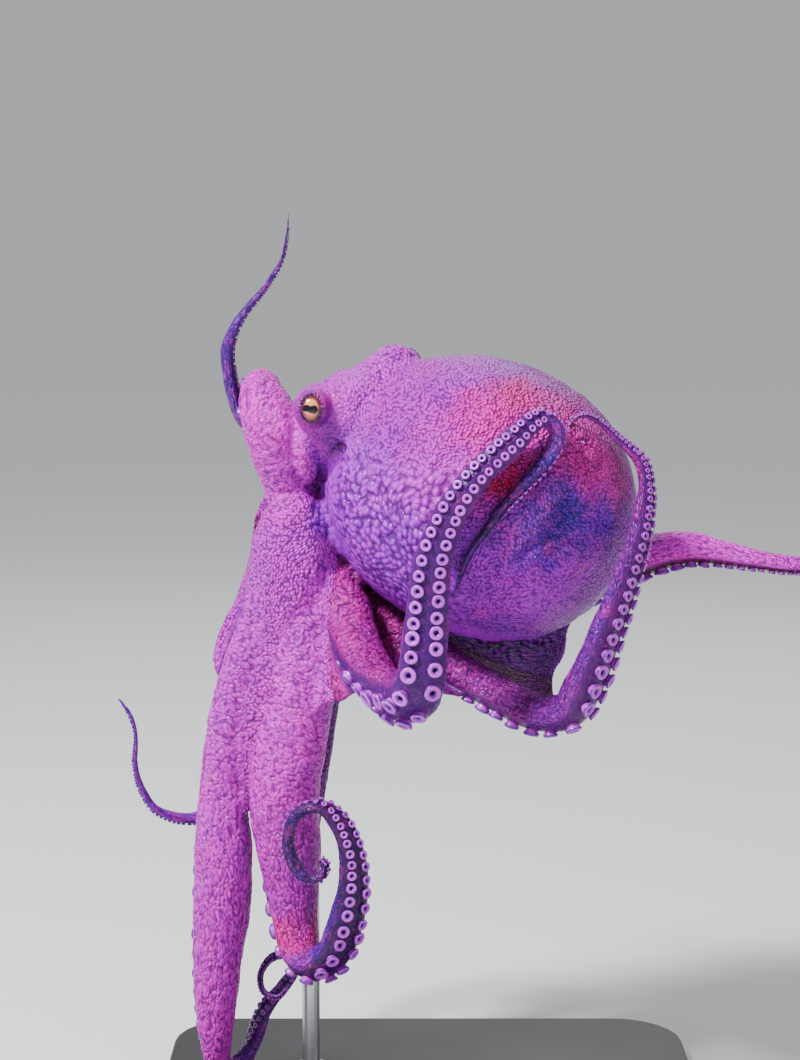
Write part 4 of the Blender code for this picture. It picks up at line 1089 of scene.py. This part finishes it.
# The cells' tops lighten: a painted highlight.
bare = reckon(tree, "SUBTRACT", cells, smooth_value, clamp=True)
colour = tinted(tree, stretch(tree, bare, 0.80, 1.0), colour, crest)
colour = tinted(tree, stretch(tree, flecks, 0.58, 0.72, 0.0, 0.22), colour, RED_FLECK)
colour = tinted(tree, stretch(tree, flecks, 0.42, 0.30, 0.0, 0.35), colour, DARK_FLECK)
tree.links.new(colour, shader.inputs["Base Color"])
orbit_value = value_of(tree, "orbit")
lines = reckon(tree, "SINE", reckon(tree, "ADD", reckon(tree, "MULTIPLY", orbit_value, 55.0),
                                    reckon(tree, "MULTIPLY", clouds, 6.0)))
around_eye = reckon(tree, "MULTIPLY", stretch(tree, orbit_value, 1.3, 0.7),
                    stretch(tree, orbit_value, 0.30, 0.5))
relief = reckon(tree, "MULTIPLY", cells, reckon(tree, "MULTIPLY", value_of(tree, "relief"), CELL_HEIGHT))
for form, height in ((reckon(tree, "MULTIPLY", lines, around_eye), LID_LINE_HEIGHT),
                     (flecks, FLECK_HEIGHT), (pores, PORE_HEIGHT)):
    relief = reckon(tree, "ADD", relief, reckon(tree, "MULTIPLY", form, height))
bump = add_node(tree, "ShaderNodeBump", {"Height": relief, "Strength": 1.0, "Distance": MM})
tree.links.new(bump.outputs["Normal"], shader.inputs["Normal"])
tree.links.new(bump.outputs["Normal"], shader.inputs["Coat Normal"])
tree.links.new(stretch(tree, clouds, 0.3, 0.7, 0.34, 0.50), shader.inputs["Roughness"])
shader.inputs["Specular IOR Level"].default_value = 0.12
shader.inputs["Coat Weight"].default_value = 0.32
shader.inputs["Coat Roughness"].default_value = 0.17
shader.inputs["Subsurface Weight"].default_value = 0.05
shader.inputs["Subsurface Radius"].default_value = (1.0, 0.35, 0.6)
shader.inputs["Subsurface Scale"].default_value = 0.003
skin.data.materials.clear()
skin.data.materials.append(skin_finish)
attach(skin, "root")
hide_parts(*[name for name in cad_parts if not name.startswith(("stand_", "eye_"))])

# ---------------------------------------------------------------------------------------------
# Suckers.  Muscular cups in two staggered rows down every arm, each a turned rim with a hollow in
# its middle.  One cup is turned, and Geometry Nodes sets copies of it along each arm.
# ---------------------------------------------------------------------------------------------
SUCKER_RADIUS = 0.172
SUCKER_ROW_OFFSET = 0.25
SUCKER_PITCH = 0.39
SUCKER_SEAT = 0.29
SUCKER_START = 30
SUCKER_LEAN = math.radians(14)
LEAST_WIDTH = 2.6
# How dark the suckers of an arm are: painted shade for arms that lie in shade.
SUCKER_SHADES = {"arm_centre": 0.1, "arm_right": 0.35, "arm_front": 0.35, "arm_left": 1.2, "arm_up": 1.2}
FINE_SUCKER_WIDTH = 9
SUCKER_PROFILE = ((0.70, -0.45), (0.74, 0.05), (0.90, 0.22), (1.0, 0.42), (0.96, 0.58), (0.78, 0.68),
                  (0.52, 0.62), (0.32, 0.47), (0.23, 0.24), (0.20, -0.10), (0.0, -0.16))
PLAIN_PROFILE = ((0.70, -0.45), (0.95, 0.28), (0.94, 0.58), (0.60, 0.66), (0.24, 0.40), (0.0, -0.05))


def turned_cup(name, profile, steps):
    """A sucker of radius one: its profile spun round, with how deep each point lies in the cup."""
    form = bmesh.new()
    corners = [form.verts.new((radius, 0, height)) for radius, height in profile]
    outline = [form.edges.new(pair) for pair in zip(corners, corners[1:])]
    bmesh.ops.spin(form, geom=corners + outline, cent=(0, 0, 0), axis=(0, 0, 1), angle=2 * math.pi,
                   steps=steps, use_merge=True)
    bmesh.ops.remove_doubles(form, verts=form.verts, dist=0.001)
    form.normal_update()
    bmesh.ops.recalc_face_normals(form, faces=form.faces)
    bowl = form.verts.layers.float.new("bowl")
    for vert in form.verts:
        reach = math.hypot(vert.co.x, vert.co.y)
        vert[bowl] = min(1.0, max(0.0, 1 - reach)) if vert.co.z > -0.3 else 0.0
    mesh = bpy.data.meshes.new(name)
    form.to_mesh(mesh)
    form.free()
    mesh.shade_smooth()
    cup = bpy.data.objects.new(name, mesh)
    bpy.context.scene.collection.objects.link(cup)
    return cup


def copies_on_points(name, cup):
    """A node group that sets a cup on each point of a mesh, turned and sized by the point."""
    group = bpy.data.node_groups.new(name, "GeometryNodeTree")
    group.interface.new_socket("Geometry", in_out="INPUT", socket_type="NodeSocketGeometry")
    group.interface.new_socket("Geometry", in_out="OUTPUT", socket_type="NodeSocketGeometry")
    entry = add_node(group, "NodeGroupInput")
    turn = add_node(group, "GeometryNodeInputNamedAttribute", {"Name": "turn"}, data_type="FLOAT_VECTOR")
    girth = add_node(group, "GeometryNodeInputNamedAttribute", {"Name": "girth"}, data_type="FLOAT")
    source = add_node(group, "GeometryNodeObjectInfo", {"Object": cup})
    placed = add_node(group, "GeometryNodeInstanceOnPoints", {
        "Points": entry.outputs["Geometry"], "Instance": source.outputs["Geometry"],
        "Rotation": turn.outputs["Attribute"], "Scale": girth.outputs["Attribute"]})
    real = add_node(group, "GeometryNodeRealizeInstances", {"Geometry": placed.outputs["Instances"]})
    add_node(group, "NodeGroupOutput", {"Geometry": real.outputs["Geometry"]})
    return group


def sucker_seats(limb):
    """Place, turn and size of each sucker of an arm."""
    seats = []
    along, side = SUCKER_START, 1
    while along < limb.length:
        i = limb.at(along)
        width = limb.width[i]
        if width < LEAST_WIDTH:
            break
        out, across = Vector(limb.out[i]), Vector(limb.across[i])
        root = Vector(limb.place[i]) + across * side * SUCKER_ROW_OFFSET * width + out * SUCKER_SEAT * width
        lean = out * math.cos(SUCKER_LEAN) + across * side * math.sin(SUCKER_LEAN)
        lean += Vector([random.uniform(-0.10, 0.10) for _ in range(3)])
        size = SUCKER_RADIUS * width * random.uniform(0.93, 1.06)
        # The last value is the cup's painted shade, set by its arm, with a little random spread.
        seats.append((root * MM, lean.to_track_quat("Z", "Y").to_euler(), size * MM, width,
                      SUCKER_SHADES.get(limb.name, 0.7) + random.uniform(-0.2, 0.2)))
        along += SUCKER_PITCH * width / 2
        side = -side
    return seats


def sucker_rows(name, seats, group):
    """The suckers of one arm as one mesh."""
    mesh = bpy.data.meshes.new(name)
    mesh.from_pydata([seat[0] for seat in seats], [], [])
    turn = mesh.attributes.new("turn", "FLOAT_VECTOR", "POINT")
    turn.data.foreach_set("vector", [angle for seat in seats for angle in seat[1]])
    girth = mesh.attributes.new("girth", "FLOAT", "POINT")
    girth.data.foreach_set("value", [seat[2] for seat in seats])
    tone = mesh.attributes.new("tone", "FLOAT", "POINT")
    tone.data.foreach_set("value", [seat[4] for seat in seats])
    rows = bpy.data.objects.new(name, mesh)
    bpy.context.scene.collection.objects.link(rows)
    rows.modifiers.new("suckers", "NODES").node_group = group
    applied(rows)
    return rows


random.seed(8)
fine_cup = turned_cup("fine_cup", SUCKER_PROFILE, 16)
plain_cup = turned_cup("plain_cup", PLAIN_PROFILE, 9)
fine_group = copies_on_points("fine suckers", fine_cup)
plain_group = copies_on_points("plain suckers", plain_cup)
sucker_finish, tree, shader = new_material("suckers", (0.6, 0.4, 0.7), 0.35)
place = add_node(tree, "ShaderNodeTexCoord").outputs["Object"]
bowl = value_of(tree, "bowl")
cloud = add_node(tree, "ShaderNodeTexNoise", {"Vector": place, "Scale": 260.0, "Detail": 3.0}).outputs["Fac"]
rim = tinted(tree, cloud, (*linear((0.88, 0.60, 0.96)), 1), (*linear((1.0, 0.84, 1.0)), 1))
# Suckers darken by their painted shade.
arm_shade = reckon(tree, "MULTIPLY", value_of(tree, "tone"), 0.8, clamp=True)
rim = tinted(tree, arm_shade, rim, (*linear((0.62, 0.16, 0.60)), 1))
side = tinted(tree, stretch(tree, bowl, 0.0, 0.12), (*linear((0.50, 0.22, 0.68)), 1), rim)
ring = tinted(tree, stretch(tree, bowl, 0.36, 0.60), side, (*linear((0.66, 0.32, 0.80)), 1))
# The dark middle is painted shade in the cup's hollow.
hole = tinted(tree, stretch(tree, bowl, 0.66, 0.80), ring, (*linear((0.26, 0.07, 0.38)), 1))
tree.links.new(hole, shader.inputs["Base Color"])
fold = add_node(tree, "ShaderNodeBump", {"Height": cloud, "Strength": 0.4, "Distance": 0.0004})
tree.links.new(fold.outputs["Normal"], shader.inputs["Normal"])
tree.links.new(stretch(tree, cloud, 0.3, 0.7, 0.28, 0.42), shader.inputs["Roughness"])
shader.inputs["Coat Weight"].default_value = 0.4
shader.inputs["Coat Roughness"].default_value = 0.12
shader.inputs["Subsurface Weight"].default_value = 0.2
shader.inputs["Subsurface Radius"].default_value = (1.0, 0.5, 0.9)
shader.inputs["Subsurface Scale"].default_value = 0.002
for limb in limbs.values():
    seats = sucker_seats(limb)
    for kind, group, chosen in (("large", fine_group, [s for s in seats if s[3] >= FINE_SUCKER_WIDTH]),
                                ("small", plain_group, [s for s in seats if s[3] < FINE_SUCKER_WIDTH])):
        rows = sucker_rows("suckers_" + limb.name[4:] + "_" + kind, chosen, group)
        rows.data.materials.clear()
        rows.data.materials.append(sucker_finish)
        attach(rows, "root")
for cup in (fine_cup, plain_cup):
    bpy.data.objects.remove(cup)

# ---------------------------------------------------------------------------------------------
# Eyes.  Firm glossy balls, with a gold iris that is orange below, a maroon rim, and a black pupil
# that lies level like a bar and is thicker at one end.
# ---------------------------------------------------------------------------------------------
PUPIL_HALF_LENGTH = 4.9
PUPIL_HALF_HEIGHT = 2.3
PUPIL_CENTRE = (-0.5, -0.7)
IRIS_HALF_WIDTH = 5.2
IRIS_HALF_HEIGHT = 7.1

eye_finish, tree, shader = new_material("eye", (0.8, 0.55, 0.3), 0.12)
own_place = value_of(tree, "gaze", "Vector")
spot = add_node(tree, "ShaderNodeSeparateXYZ", {0: own_place})
across, up = spot.outputs[0], spot.outputs[1]
fray = add_node(tree, "ShaderNodeTexNoise", {"Vector": own_place, "Scale": 1.6, "Detail": 3.0})
frayed = reckon(tree, "MULTIPLY", reckon(tree, "SUBTRACT", fray.outputs["Fac"], 0.5), 0.35)
thicker_end = stretch(tree, across, 0.0, 3.6)
lift = stretch(tree, across, -0.4, -2.2, PUPIL_CENTRE[1], PUPIL_CENTRE[1] + 0.75)
bar_height = reckon(tree, "ADD", reckon(tree, "MULTIPLY", thicker_end, 0.85), PUPIL_HALF_HEIGHT)
beside = reckon(tree, "ABSOLUTE", reckon(tree, "SUBTRACT", across, PUPIL_CENTRE[0]))
beside = reckon(tree, "SUBTRACT", beside, reckon(tree, "SUBTRACT", PUPIL_HALF_LENGTH, bar_height))
beside = reckon(tree, "MAXIMUM", beside, 0.0)
above = reckon(tree, "SUBTRACT", up, lift)


def reach_of(first, second):
    """Length of the slope of two runs."""
    squares = [reckon(tree, "MULTIPLY", run, run) for run in (first, second)]
    return reckon(tree, "SQRT", reckon(tree, "ADD", squares[0], squares[1]))


bar_edge = reckon(tree, "ADD", reckon(tree, "SUBTRACT", reach_of(beside, above), bar_height), frayed)
iris_edge = reach_of(reckon(tree, "DIVIDE", across, IRIS_HALF_WIDTH),
                     reckon(tree, "DIVIDE", up, IRIS_HALF_HEIGHT))
long_grain = add_node(tree, "ShaderNodeMapping", {"Vector": own_place, "Scale": (3.2, 0.55, 1.0)})
fibres = add_node(tree, "ShaderNodeTexNoise", {"Vector": long_grain.outputs["Vector"], "Scale": 1.5,
                                               "Detail": 5.0, "Roughness": 0.7}).outputs["Fac"]
iris = tinted(tree, stretch(tree, up, -2.6, 0.6), (0.85, 0.13, 0.015, 1), (0.95, 0.34, 0.10, 1))
iris = tinted(tree, stretch(tree, fibres, 0.42, 0.70, 0.0, 0.6), iris, (0.42, 0.12, 0.10, 1))
shine = reckon(tree, "MULTIPLY", stretch(tree, bar_edge, 0.55, 0.25, 0.0, 0.8),
               stretch(tree, above, -0.2, -0.9))
iris = tinted(tree, shine, iris, (0.98, 0.60, 0.32, 1))
iris = tinted(tree, stretch(tree, iris_edge, 0.70, 1.0), iris, (0.10, 0.008, 0.03, 1))
eye_colour = tinted(tree, stretch(tree, bar_edge, 0.14, -0.14), iris, (0.003, 0.002, 0.006, 1))
tree.links.new(eye_colour, shader.inputs["Base Color"])
tree.links.new(stretch(tree, fray.outputs["Fac"], 0.3, 0.7, 0.10, 0.16), shader.inputs["Roughness"])
shader.inputs["Coat Weight"].default_value = 0.5
shader.inputs["Coat Roughness"].default_value = 0.03
for side, (centre, gaze) in EYES.items():
    form = bmesh.new()
    bmesh.ops.create_uvsphere(form, u_segments=64, v_segments=40, radius=EYE_RADIUS)
    turn = gaze.to_track_quat("Z", "Y")
    own = [tuple(vert.co) for vert in form.verts]
    for vert in form.verts:
        vert.co = (centre + turn @ vert.co) * MM
    mesh = bpy.data.meshes.new("eyeball_" + side)
    form.to_mesh(mesh)
    form.free()
    add_values(mesh, "gaze", "FLOAT_VECTOR", own)
    mesh.shade_smooth()
    mesh.materials.append(eye_finish)
    eyeball = bpy.data.objects.new("eyeball_" + side, mesh)
    bpy.context.scene.collection.objects.link(eyeball)
    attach(eyeball, "root")
    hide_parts("eye_" + side)

low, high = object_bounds()
